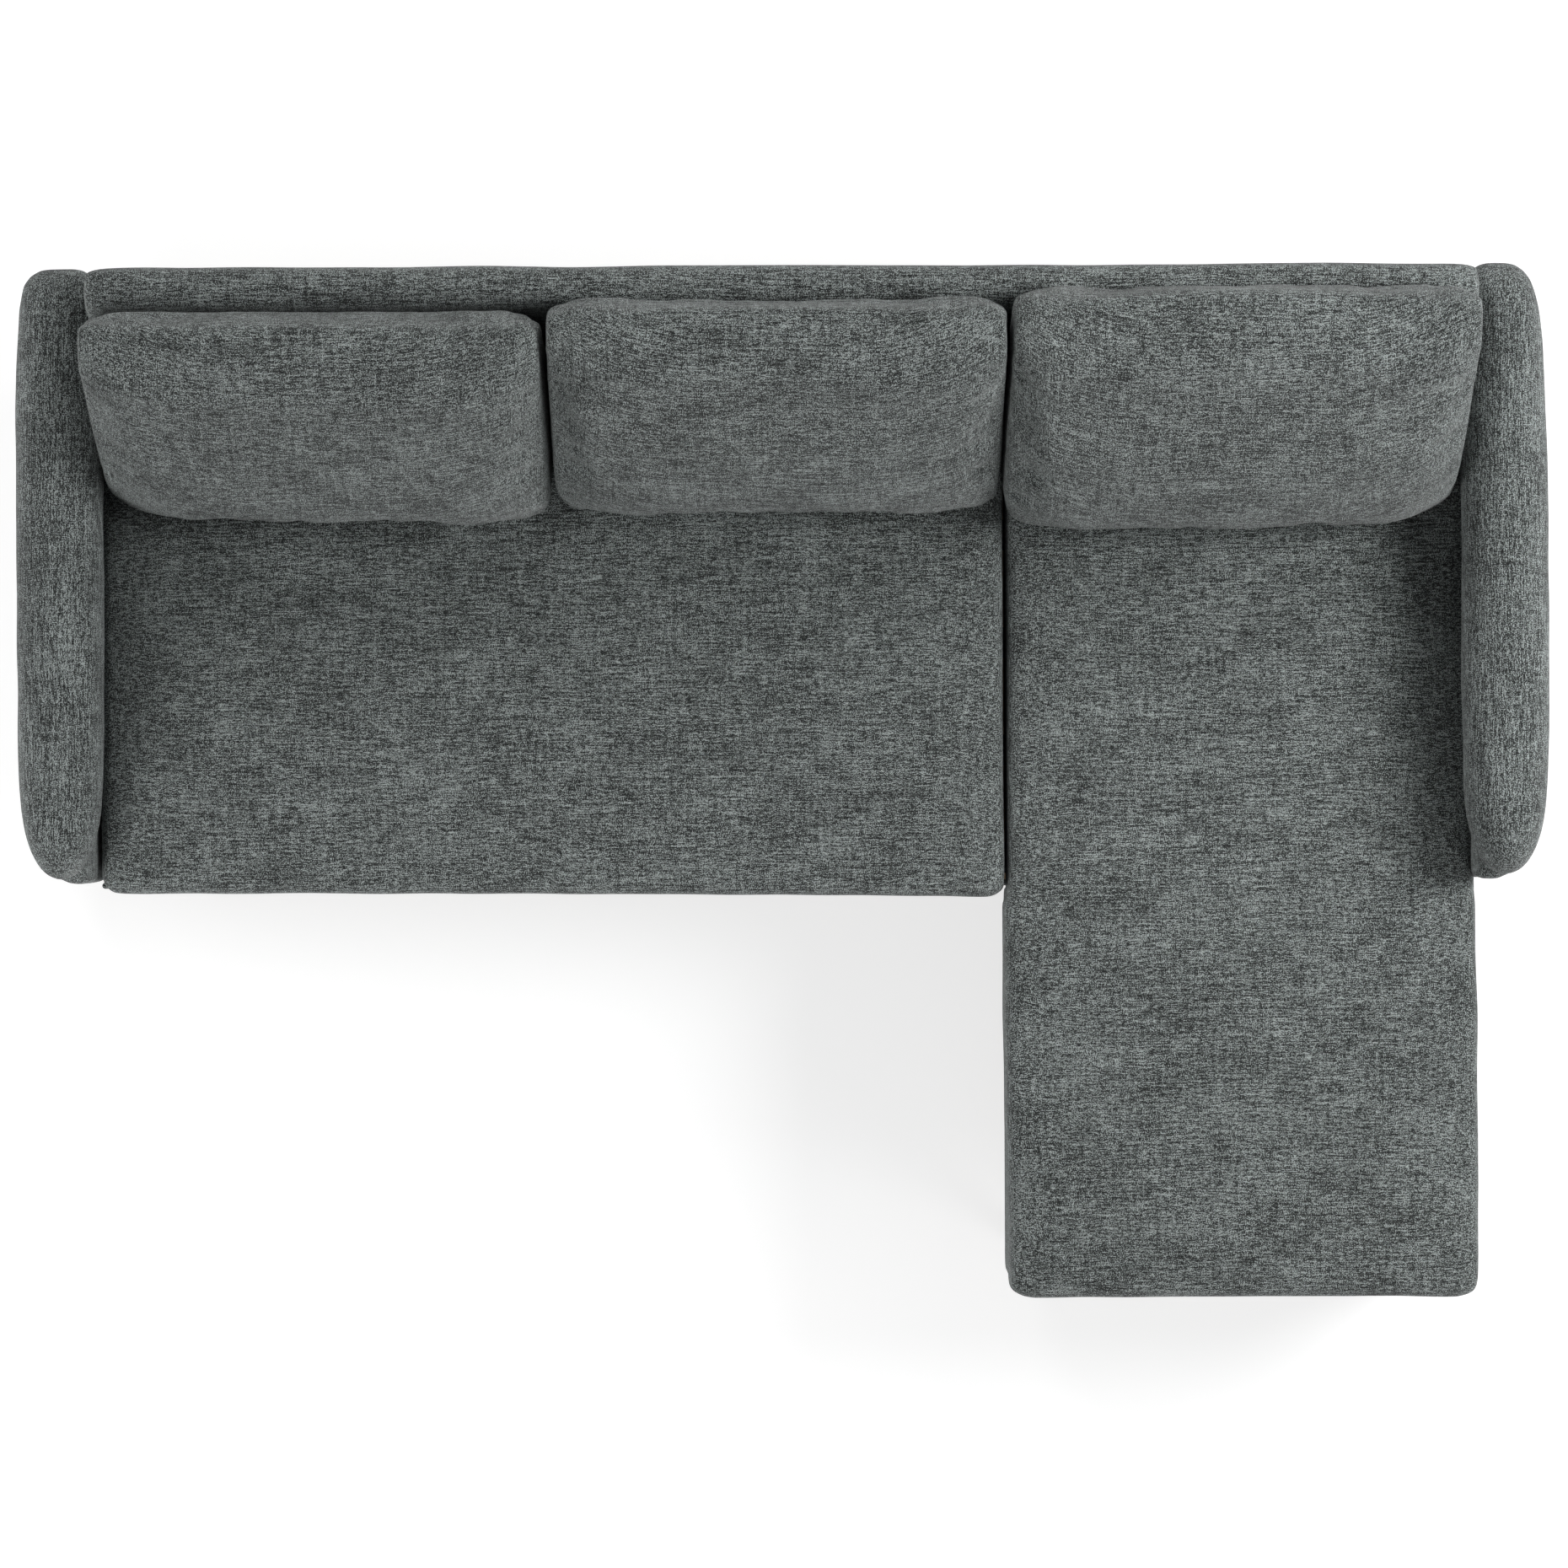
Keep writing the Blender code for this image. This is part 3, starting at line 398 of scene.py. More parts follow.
# %% Zinc-plated steel
zinc, tree, shader, spot, _ = new_material("zinc plated steel")
patches = noise_at(tree, spot, (0.006, 0.006, 0.006), 3.0, 0.6)
scratches = noise_at(tree, spot, (0.0006, 0.012, 0.004))
cloudy = ramp(tree, patches, 0.3, 0.7)
tone = mix_colours(tree, cloudy, (0.50, 0.52, 0.54), (0.66, 0.68, 0.69))
worn = sums(tree, "MULTIPLY", scratches, 0.10)
rub = sums(tree, "ADD", ramp(tree, patches, 0.2, 0.8, 0.24, 0.36), worn)
finish_shader(tree, shader, tone, rub, scratches, strength=0.15, distance=0.0001)
shader.inputs["Metallic"].default_value = 1.0
print("metal:", zinc.name)

# %% [markdown]
# Under the seat lies a thin black lining of pressed fibres, with small bonded dots in rows. The
# deck is elastic webbing: black and grey bands with fine ribs across them.

# %% Lining and webbing
lining, tree, shader, spot, _ = new_material("black non-woven lining")
values = {"Vector": divided(tree, spot, (0.002, 0.002, 0.002)), "Scale": 1.0}
dots = add_node(tree, "TexVoronoi", values)
press = ramp(tree, dots.outputs["Distance"], 0.15, 0.55)
fibres = noise_at(tree, spot, (0.004, 0.001, 0.001), 3.0, 0.7)
tone = mix_colours(tree, fibres, (0.012, 0.012, 0.013), (0.034, 0.034, 0.037))
rough = ramp(tree, press, 0.0, 1.0, 0.72, 0.9)
finish_shader(tree, shader, tone, rough, press, strength=0.5, distance=0.0003)

webbing, tree, shader, spot, _ = new_material("elastic webbing")
parts = add_node(tree, "SeparateXYZ", {0: spot}).outputs
rib_pitch = 0.0021
ribs = []
for axis in ("X", "Y"):
    turns = sums(tree, "MULTIPLY", parts[axis], 2 * math.pi / rib_pitch)
    ribs.append(sums(tree, "ABSOLUTE", sums(tree, "SINE", turns)))
rib = sums(tree, "MULTIPLY", *ribs)
band = noise_at(tree, spot, (0.009, 0.009, 0.2), 1.0)
striped = ramp(tree, band, 0.42, 0.58)
tone = mix_colours(tree, striped, (0.018, 0.018, 0.020), (0.10, 0.10, 0.105))
rough = ramp(tree, rib, 0.0, 1.0, 0.9, 0.7)
finish_shader(tree, shader, tone, rough, rib, strength=0.6, distance=0.0004)
print("under the seat:", lining.name, "and", webbing.name)


# %% [markdown]
# ## Dress the carried-over frame
#
# The frame's own nodes stay where they are. Each gets the material of the real part, with the
# timber's grain along its length. The first row below with a word from the node's name decides.


# %% Give each frame node its material
words_and_materials = (
    (("webbing",), webbing),
    (("dust_cover",), lining),
    (("leg",), leg_wood),
    (("hook", "slider"), zinc),
    (("front_rail", "rear_rail", "top_rail"), timber_along_x),
    (("rail",), timber_along_y),
    (("post", "arm_panel"), timber_upright),
    (("back_panel",), pressed_board),
    (("",), cloth_across),
)


def material_for(name):
    fits = (found for words, found in words_and_materials if any(word in name for word in words))
    return next(fits)


for name, node in nodes.items():
    node.data.materials.clear()
    node.data.materials.append(material_for(name))
print("dressed:", len(nodes), "nodes")

# %% [markdown]
# ## How a soft body is made
#
# A box lattice is cut with a few planes, and each of its points is put where the cloth would
# pass. Subdivision then rounds it, like a sewn case filled with foam. A lattice is easier to
# steer than sculpting, because one point moves one stretch of the outline.


# %% Box lattice and rounding
def blend(low, high, share):
    return low + (high - low) * share


def bulge(share):
    """1 in the middle of 0 to 1, and 0 at its ends."""
    return 1 - (2 * share - 1) ** 2


def lattice(across_shares, deep_shares, high_shares, place):
    """A closed box lattice, its points placed by their shares of width, depth and height."""
    form = bmesh.new()
    corners = {}
    last = [len(shares) - 1 for shares in (across_shares, deep_shares, high_shares)]

    def corner(i, j, k):
        if (i, j, k) not in corners:
            spot = place(across_shares[i], deep_shares[j], high_shares[k])
            corners[i, j, k] = form.verts.new(spot)
        return corners[i, j, k]

    def face(flip, *places):
        ring = [corner(*at) for at in places]
        form.faces.new(ring[::-1] if flip else ring)

    for i in range(last[0]):
        for j in range(last[1]):
            for k in (0, last[2]):
                face(k > 0, (i, j, k), (i, j + 1, k), (i + 1, j + 1, k), (i + 1, j, k))
    for i in range(last[0]):
        for k in range(last[2]):
            for j in (0, last[1]):
                face(j > 0, (i, j, k), (i + 1, j, k), (i + 1, j, k + 1), (i, j, k + 1))
    for j in range(last[1]):
        for k in range(last[2]):
            for i in (0, last[0]):
                face(i > 0, (i, j, k), (i, j, k + 1), (i, j + 1, k + 1), (i, j + 1, k))
    return form


def lofted(levels):
    """A form from outlines of equally many points, each joined to the next, its ends closed."""
    form = bmesh.new()
    rings = [[form.verts.new(spot) for spot in level] for level in levels]
    count = len(rings[0])
    for near, far in zip(rings, rings[1:]):
        for index in range(count):
            after = (index + 1) % count
            form.faces.new((near[index], near[after], far[after], far[index]))
    form.faces.new(rings[0])
    form.faces.new(rings[-1])
    return form


def new_object(name, data):
    made = bpy.data.objects.new(name, data)
    bpy.context.scene.collection.objects.link(made)
    return made


def new_piece(name, form):
    """An object from a bmesh, shaded smooth, its faces turned outwards."""
    bmesh.ops.recalc_face_normals(form, faces=form.faces)
    mesh = bpy.data.meshes.new(name)
    form.to_mesh(mesh)
    form.free()
    mesh.shade_smooth()
    return new_object(name, mesh)


def settle_modifiers(piece):
    """Turns a piece's modifiers into its mesh."""
    graph = bpy.context.evaluated_depsgraph_get()
    graph.update()
    mesh = bpy.data.meshes.new_from_object(piece.evaluated_get(graph))
    piece.modifiers.clear()
    old = piece.data
    piece.data = mesh
    mesh.name = piece.name
    bpy.data.meshes.remove(old)


def modified(piece, kind, **settings):
    """Changes a piece by one modifier with these settings."""
    configure(piece.modifiers.new(kind, kind), settings)
    settle_modifiers(piece)


def round_off(piece, levels):
    modified(piece, "SUBSURF", levels=levels, render_levels=levels)


def remade(piece, voxel):
    """Makes the mesh anew, of even small faces."""
    modified(piece, "REMESH", mode="VOXEL", voxel_size=voxel)


def smoothed(piece, rounds):
    modified(piece, "SMOOTH", iterations=rounds, factor=0.5)


def points_of(piece, what="co"):
    """A row of three numbers for each vertex: its place, or its normal."""
    spots = np.zeros(len(piece.data.vertices) * 3)
    piece.data.vertices.foreach_get(what, spots)
    return spots.reshape(-1, 3)


def rows(x, y, z):
    return np.stack((x, y, z), axis=1)


def set_points(piece, spots):
    piece.data.vertices.foreach_set("co", np.ascontiguousarray(spots).ravel())
    piece.data.update()


# %% [markdown]
# ## Let the filling push the cloth out
#
# Blender's cloth solver does what foam does: a light pressure from inside stretches the case.
# The mesh is first remade of even small faces, because cloth needs them. The seams are drawn in
# a little, as thread does, which gathers the cloth beside them. Each point may move only as far
# as the cap allows, and a keep function holds the piece clear of what it lies on or leans on.


# %% Puff a piece up
swell_frames = 20
seam_draw = 0.03
case_cloth = {
    "quality": 4,
    "mass": 0.3,
    "tension_stiffness": 12,
    "compression_stiffness": 12,
    "shear_stiffness": 6,
    "bending_stiffness": 0.6,
    "use_pressure": True,
    "uniform_pressure_force": 4.0,
}


def swell(piece, voxel, cap, keep, seam_share=None):
    """Remeshes a piece, lets a pressure swell it, and holds it inside what keep allows."""
    remade(piece, voxel)
    start = points_of(piece)
    cloth = piece.modifiers.new("filling", "CLOTH")
    settings = cloth.settings
    configure(settings, case_cloth)
    settings.effector_weights.gravity = 0
    cloth.collision_settings.use_collision = False
    if seam_share is not None:
        group = piece.vertex_groups.new(name="seam")
        for index, spot in enumerate(start):
            weight = float(seam_share(*spot))
            if weight > 0.01:
                group.add([index], weight, "REPLACE")
        settings.vertex_group_shrink = "seam"
        settings.shrink_max = seam_draw
    cloth.point_cache.frame_start = 1
    cloth.point_cache.frame_end = swell_frames
    scene = bpy.context.scene
    for step in range(1, swell_frames + 1):
        scene.frame_set(step)
    settle_modifiers(piece)
    end = points_of(piece)
    moved = end - start
    length = np.linalg.norm(moved, axis=1, keepdims=True)
    share = np.minimum(1, cap / np.maximum(length, 1e-9))
    set_points(piece, keep(start + moved * share))
    scene.frame_set(1)
    print(piece.name, "swelled", round(float(length.mean() * 1000), 1), "mm on average")


def fitted(piece, low, high):
    """Stretches a piece to the wanted box, because swelling and smoothing change its size."""
    spots = points_of(piece)
    near, far = spots.min(axis=0), spots.max(axis=0)
    for axis in range(3):
        if low[axis] is not None:
            share = (spots[:, axis] - near[axis]) / (far[axis] - near[axis])
            spots[:, axis] = blend(low[axis], high[axis], share)
    set_points(piece, spots)
    print(piece.name, "fitted, it was", [round(float(size), 3) for size in far - near])


def pressed(values, low, high, soft):
    """Values squeezed softly between two limits, as cloth is by its neighbours."""
    over = np.maximum(values - (high - soft), 0)
    under = np.maximum((low + soft) - values, 0)
    values = np.where(over > 0, high - soft * np.exp(-over / soft), values)
    return np.where(under > 0, low + soft * np.exp(-under / soft), values)


# %% [markdown]
# ## Folds
#
# Cloth that is pulled towards a corner shows soft folds that fan out from it. A full simulation
# of them needs a very fine mesh, so they are pressed into the finished surface: a wave round the
# corner that fades with distance.


# %% Fan folds and slow unevenness
fold_depth = 0.003
fold_reach = 0.14
fold_count = 9.0


def press_folds(piece, corner, seed):
    """Soft folds that fan out from a corner over the piece."""
    spots = points_of(piece)
    facing = points_of(piece, "normal")
    away = spots - np.array(corner)
    distance = np.linalg.norm(away, axis=1)
    fade = np.exp(-((distance / fold_reach) ** 2)) * (1 - np.exp(-distance / 0.03))
    for index in np.nonzero(fade > 0.02)[0]:
        spoke = away[index] / max(distance[index], 1e-6)
        x, y, z = (part * fold_count * 0.4 for part in spoke)
        wave = noise.noise(Vector((x + seed, y, z + seed)))
        spots[index] += facing[index] * wave * fold_depth * fade[index] * 2
    set_points(piece, spots)


def press_unevenness(piece, seed, depth, size):
    """A slow unevenness, as foam and fibre have once they have been sat on."""
    spots = points_of(piece)
    facing = points_of(piece, "normal")
    for index, spot in enumerate(spots):
        wave = noise.noise(Vector(spot) / size + Vector((seed, seed * 2.0, 0)))
        spots[index] = spot + facing[index] * wave * depth
    set_points(piece, spots)


def dressed(piece, cloth, *replaced, fill=None, body="sofa", slot="charcoal_fabric"):
    """Gives a piece its material and its body, and hides the frame nodes it stands for. The slot
    is not used.
    """
    piece.data.materials.clear()
    piece.data.materials.append(cloth)
    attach(piece, body)
    if replaced:
        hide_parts(*replaced)
    print(piece.name, "has", len(piece.data.polygons), "faces")


# %% [markdown]
# ## The two seat pads
#
# Both pads are foam in a zipped case with a top panel, a bottom panel and a border between them.
# They lie flat on the deck, their rear leans like the back, and they crown a little in front of
# the cushions. Two separate pads meet in one dark line.

# %% Measures of the pads
pad_low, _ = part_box("bench_pad_cover")
chaise_low, chaise_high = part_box("chaise_pad_cover")
pad_bottom = pad_low.z
pad_top = pad_bottom + 0.152
lean = 0.27
face_top = 0.735
face_top_y = 0.739


def back_face_y(height):
    """Where the back's leaning front face stands at this height."""
    return face_top_y - lean * (face_top - height)


print("pads lie from", round(pad_bottom, 4), "to", round(pad_top, 4))


# %% [markdown]
# Each loose cover closes with a zip across its rear face. The sliders come from the frame, so
# the place of each zip is read from its slider and its cover. The cloth is flat round it and dips
# into a shallow channel, and the tapes and teeth are laid in it later. A step up is longer along
# the leaning face, by the slant.


# %% Where the zips lie
pad_gap = 0.008
cushion_gap = 0.007
groove_depth = 0.0022
groove_half = 0.0105
flat_half = 0.045
slant = 1.036
slider_half = 0.016
pad_zip_height = (pad_bottom + pad_top) / 2
cushion_zip_height = 0.5514
zips = {}
for name in ("bench_pad", "chaise_pad", "back_cushion_1", "back_cushion_2", "back_cushion_3"):
    low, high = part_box(name + "_cover")
    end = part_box(name + "_zip_slider")[0].x + slider_half
    padded_seat = name.endswith("pad")
    zips[name] = {
        "left": low.x + high.x - end,
        "right": end,
        "height": pad_zip_height if padded_seat else cushion_zip_height,
        "gap": pad_gap if padded_seat else cushion_gap,
    }
    print(name, "zip from", round(zips[name]["left"], 4), "to", round(end, 4))


def press_groove(piece, place):
    """Lays the rear face flat round a zip and presses a narrow channel for it."""
    x, y, z = points_of(piece).T
    plane = back_face_y(z) - place["gap"]
    reach = (place["right"] - place["left"]) / 2
    middle = (place["left"] + place["right"]) / 2
    beside = np.clip((reach + 0.008 - np.abs(x - middle)) / 0.006, 0, 1)
    away = np.abs(z - place["height"]) * slant
    rear = (y > plane - 0.025) * beside
    y = blend(y, plane, rear * np.clip((flat_half - away) / 0.02, 0, 1))
    y = y - groove_depth * rear * np.clip((groove_half - away) / 0.004, 0, 1)
    set_points(piece, rows(x, y, z))


# %% A pad's lattice
edge_round = 0.045
crown = 0.010
under_from = 0.30
under_over = 0.12


def pad_piece(name, left, right, front):
    length = back_face_y(pad_bottom) - pad_gap - front
    width = right - left
    near_x = edge_round / width
    near_y = edge_round / length
    across = (0, near_x, 0.25, 0.5, 0.75, 1 - near_x, 1)
    deep = (0, near_y, 0.3, 0.6, 1 - near_y, 1)
    high = (0, 0.22, 0.78, 1)
    shrink = 0.003

    def place(x_share, y_share, z_share):
        height = pad_bottom + (pad_top - pad_bottom) * z_share
        rear = back_face_y(height) - pad_gap
        x = blend(left + shrink, right - shrink, x_share)
        y = blend(front + shrink, rear - 0.002, y_share)
        if z_share == 1:
            full = crown * bulge(x_share) ** 0.5 * bulge(min(1, y_share * 0.8))
            height += full - 0.004
        if z_share in (0.22, 0.78) and x_share in (0, 1):
            x += 0.003 if x_share else -0.003
        return Vector((x, y, height))

    return new_piece(name, lattice(across, deep, high, place))


flare_y = (-0.78, -0.62, -0.35, -0.18, -0.16)
flare_left = (-0.004, 0.0005, 0.005, 0.005, 0.0)
flare_right = (0.0035, 0.005, 0.005, 0.002, 0.0)


def spread(spots, left, right):
    """Lets a pad's sides out where nothing stands beside them, in front of bench and arm."""
    x, y, z = spots.T
    share = (x - left) / (right - left)
    out = np.interp(y, flare_y, flare_right) * share
    out = out - np.interp(y, flare_y, flare_left) * (1 - share)
    return rows(x + out, y, z)


askew_left = 0.0045
askew_turn = 0.010
held_from = 0.40


def askew(piece):
    """The bench pad is set down a few millimetres out of square, its right end further forward."""
    x, y, z = points_of(piece).T
    share = (x - x.min()) / (x.max() - x.min())
    free = np.clip((held_from - y) / 0.56, 0, 1)
    return rows(x, y + free * (askew_left - askew_turn * share), z)


def pad_keeper(left, right, front):
    """Holds a pad on its deck, off the back, under the cushions and inside its own width."""

    def keep(spots):
        x, y, z = spots.T
        z = np.maximum(z, pad_bottom)
        x = pressed(x, left, right, 0.004)
        rear = back_face_y(z) - pad_gap
        y = np.minimum(np.maximum(y, front), rear)
        under = np.clip((y - under_from) / under_over, 0, 1)
        z = np.minimum(z, pad_top + crown - crown * under)
        return rows(x, y, z)

    return keep


def edge_weight(left, right, front):
    """How near a spot is to the seams along the pad's top and bottom edges."""

    def weight(x, y, z):
        side = min(x - left, right - x, y - front)
        level = min(abs(z - pad_bottom - 0.012), abs(z - pad_top + 0.012))
        return max(0.0, 1 - side / 0.02) * max(0.0, 1 - level / 0.014)

    return weight


# %% Make, swell and smooth both pads
seam_x = 0.3545
seam_half = 0.0004
rear_limit = back_face_y(pad_top) - pad_gap
pads = {}
for name, left, right, front in (
    ("bench_pad", pad_low.x, seam_x - seam_half, pad_low.y),
    ("chaise_pad", seam_x + seam_half, chaise_high.x, chaise_low.y - 0.0025),
):
    piece = pad_piece(name, left, right, front)
    round_off(piece, 3)
    keep = pad_keeper(left, right, front)
    drawn = edge_weight(left, right, front)
    swell(piece, voxel=0.012, cap=0.010, keep=keep, seam_share=drawn)
    smoothed(piece, rounds=3)
    fitted(piece, (left - 0.003, front, None), (right + 0.003, rear_limit, None))
    press_unevenness(piece, len(pads) * 3.1 + 1.0, depth=0.0016, size=0.10)
    round_off(piece, 1)
    set_points(piece, keep(points_of(piece)))
    beside_bench = name == "chaise_pad"
    set_points(piece, spread(points_of(piece), left, right) if beside_bench else askew(piece))
    press_groove(piece, zips[name])
    dressed(piece, cloth_across, name + "_cover", name + "_core", fill=0.85)
    pads[name] = piece

# %% [markdown]
# ## The three back cushions
#
# Each is a loose case of fibre: full in the middle, thin along its top edge, drawn in at its
# sides and foot. They stand on the pads and lean on the back, the middle and the right one a
# little further over it. Each has its own width, lean and fullness, because no two are plumped
# alike. The bow is how far the rear edge curves forwards from its middle to its ends, and
# the ends are the shares of the thickness left at the left and at the right end. The rear face
# stands alike on all three at its two low levels, and at four levels of its own above them.

# %% Each cushion's own measures
cushion_bottom = 0.4398
rear_heights = (0.44, 0.70, 0.745, 0.80, 0.845, 0.875)
foot_rear = (0.652, 0.722)
measures = ("left", "right", "top", "front", "thick", "bow", "ends", "rear")
cushions = {}
for place, *row in (
    (1, -1.0645, -0.3602, 0.868, 0.4263, 0.247, 0.008, (0.86, 0.95), (0.734, 0.736, 0.724, 0.706)),
    (2, -0.3596, 0.3434, 0.872, 0.4384, 0.236, 0.012, (0.95, 0.95), (0.735, 0.754, 0.748, 0.734)),
    (3, 0.3440, 1.0580, 0.874, 0.4112, 0.250, 0.020, (0.95, 0.86), (0.736, 0.771, 0.767, 0.753)),
):
    sizes = dict(zip(measures, row))
    sizes["rear"] = foot_rear + sizes["rear"]
    cushions["back_cushion_" + str(place)] = sizes
thickness_shares = (0.90, 1.0, 0.97, 0.82, 0.58, 0.30)
level_shares = (0, 0.16, 0.38, 0.62, 0.84, 1)


# %% A cushion's lattice
case_edge = 0.048


def cushion_piece(name, sizes):
    width = sizes["right"] - sizes["left"]
    near = case_edge / width
    across = (0, near, 0.3, 0.5, 0.7, 1 - near, 1)
    deep = (0, 0.25, 0.75, 1)
    shrink = 0.004

    def place(x_share, y_share, z_share):
        level = level_shares.index(z_share)
        height = blend(cushion_bottom, sizes["top"] - 0.010, z_share)
        swell_share = bulge(x_share)
        end = sizes["ends"][0] if x_share < 0.5 else sizes["ends"][1]
        side_share = end - 0.04 if x_share in (0, 1) else 1.0
        thick = sizes["thick"] * thickness_shares[level] * blend(end, 1, swell_share)
        high_up = min(1.0, max(0.0, (height - 0.70) / 0.08))
        bowed = sizes["bow"] * high_up * (1 - swell_share)
        rear = float(np.interp(height, rear_heights, sizes["rear"])) - bowed
        middle = rear - thick / 2
        y = middle + (y_share - 0.5) * thick * side_share
        x = blend(sizes["left"] + shrink, sizes["right"] - shrink, x_share)
        if x_share in (0, 1):
            draw = 0.002 + 0.016 * max(0.0, 0.30 - z_share) / 0.30
            x += draw if x_share == 0 else -draw
        if z_share == 1:
            height += 0.010 * swell_share - 0.010 * (1 - side_share)
        return Vector((x, y, height))

    return new_piece(name, lattice(across, deep, level_shares, place))


def cushion_keeper(sizes):
    """Holds a cushion on its pad, off the back's roll and between its neighbours."""

    def keep(spots):
        x, y, z = spots.T
        z = np.maximum(z, cushion_bottom)
        x = pressed(x, sizes["left"], sizes["right"], 0.012)
        y = np.minimum(y, np.interp(z, rear_heights, sizes["rear"]))
        return rows(x, y, z)

    return keep


drape_start = 0.35
drape_rise = 0.075


def mark_drape(piece, sizes):
    """Writes on each point how far the yarns have curved up the slope there."""
    middle = (sizes["left"] + sizes["right"]) / 2
    half = (sizes["right"] - sizes["left"]) / 2
    share = np.abs(points_of(piece)[:, 0] - middle) / half
    rise = drape_rise * (np.clip(share - drape_start, 0, None) / (1 - drape_start)) ** 2
    piece.data.attributes.new("drape", "FLOAT", "POINT").data.foreach_set("value", rise)


# %% Make, swell and fold the cushions
side_press = 0.021
upper_corner = (0.66, 0.80)
lower_corner = (0.50, 0.46)
made_cushions = {}
for index, (name, sizes) in enumerate(cushions.items()):
    piece = cushion_piece(name, sizes)
    round_off(piece, 3)
    keep = cushion_keeper(sizes)
    swell(piece, voxel=0.009, cap=0.018, keep=keep)
    smoothed(piece, rounds=2)
    low = (sizes["left"] - side_press, sizes["front"], cushion_bottom)
    high = (sizes["right"] + side_press, max(sizes["rear"]), sizes["top"])
    fitted(piece, low, high)
    round_off(piece, 1)
    press_unevenness(piece, index * 5.3 + 2.0, depth=0.0028, size=0.15)
    ends = (sizes["left"], sizes["right"])
    corners = [(end, y, z) for y, z in (upper_corner, lower_corner) for end in ends]
    for step, corner in enumerate(corners):
        press_folds(piece, corner, index * 7.0 + step * 2.3)
    set_points(piece, keep(points_of(piece)))
    press_groove(piece, zips[name])
    mark_drape(piece, sizes)
    dressed(piece, cloth_across, name + "_cover", name + "_fill", fill=0.7)
    made_cushions[name] = piece

# %% [markdown]
# ## The arms
#
# Each arm is a slim upright body with a fat roll on it. From above the roll looks like a long
# paddle: rounded at both ends, fuller in the middle. Such outlines, stacked level by level and
# joined up, make a loft. How far each lies inside the widest lines is given in millimetres.

# %% The arm's outline, seen from above
roll_y = (-0.130, -0.127, -0.118, -0.100, -0.075, -0.040, 0.02, 0.12, 0.40)
roll_y += (0.60, 0.70, 0.765, 0.804, 0.822, 0.829)
outer_in = {
    -1: (66, 53, 41, 28, 17, 8.5, 3, 1, 0, 0, 2, 6, 14, 28, 46),
    1: (66, 53, 41, 28, 17, 8.5, 3, 1, 1, 4, 9.5, 17, 28, 43, 58),
}
inner_in = (64, 51, 39, 27, 15, 6, 1, 0, 0, 0, 1, 3, 8, 18, 36)
roll_out = 1.200
roll_in = 1.066
samples = [0.5 - 0.5 * math.cos(math.pi * step / 47) for step in range(48)]


def roll_outline(side):
    """The roll's widest outline as (outwards, rearwards) points, outer side first."""
    outer = []
    inner = []
    for share in samples:
        y = blend(roll_y[0], roll_y[-1], share)
        outer.append((roll_out - float(np.interp(y, roll_y, outer_in[side])) / 1000, y))
        inner.append((roll_in + float(np.interp(y, roll_y, inner_in)) / 1000, y))
    return outer + inner[::-1]


body_out = 1.202
body_in = 1.107
body_front = -0.138
body_rear = 0.801
body_y = (-0.138, -0.1355, -0.130, -0.119, -0.100, -0.075, -0.040, 0.02, 0.60)
body_outer_in = (76, 69, 59, 36, 20, 11, 7, 7, 7)
body_inner_in = (7, 2, 0, 0, 0, 0, 0, 0, 0)
press_y = (0.50, 0.62)


def corner_draw(edge, radius):
    """How far a round corner of this radius is drawn in, this far from the edge."""
    return radius * (1 - math.sqrt(max(0.0, 1 - (1 - min(1, edge / radius)) ** 2)))


def body_outline(side, swollen):
    """The body's outline. It swells inwards beside the pad and narrows like the roll behind."""
    outer = []
    inner = []
    for share in samples:
        y = blend(body_front, body_rear, share)
        rear_corner = corner_draw(body_rear - y, 0.014)
        narrowed = float(np.interp(y, body_y, body_outer_in))
        if y > 0.40:
            narrowed = max(narrowed, float(np.interp(y, roll_y, outer_in[side])) + 2)
        outer.append((body_out - rear_corner - narrowed / 1000, y))
        face = body_in - 0.0125 * swollen * float(np.interp(y, press_y, (1, 0)))
        drawn = float(np.interp(y, body_y, body_inner_in)) / 1000
        inner.append((face + rear_corner + drawn, y))
    return outer + inner[::-1]


print("arm outline has", len(roll_outline(1)), "points")


# %% Stack the outlines into an arm
body_levels = ((0.116, 0), (0.20, 0), (0.282, 0), (0.306, 0.9), (0.33, 1), (0.42, 1), (0.445, 1))
body_levels += ((0.470, 0.8), (0.489, 0.5))
roll_level = 0.544
roll_above = 0.071
roll_below = 0.078
spine_x = 1.135
spine_ends = (-0.055, 0.745)
arm_foot = 0.1132
arm_top = 0.6140


def arm_piece(side):
    """The body's outline goes straight up. The roll's is drawn in towards its spine by level."""
    levels = []
    for z, swollen in body_levels:
        levels.append([(side * x, y, z) for x, y in body_outline(side, swollen)])
    for degrees in (-28, -12, 2, 16, 30, 44, 57, 69, 79):
        turn = math.radians(degrees)
        drawn = 1 - math.cos(turn)
        z = roll_level + (roll_above if degrees > 0 else roll_below) * math.sin(turn)
        level = []
        for x, y in roll_outline(side):
            spine_y = min(max(y, spine_ends[0]), spine_ends[1])
            level.append((side * blend(x, spine_x, drawn), blend(y, spine_y, drawn), z))
        levels.append(level)
    return new_piece(("left" if side < 0 else "right") + "_arm", lofted(levels))


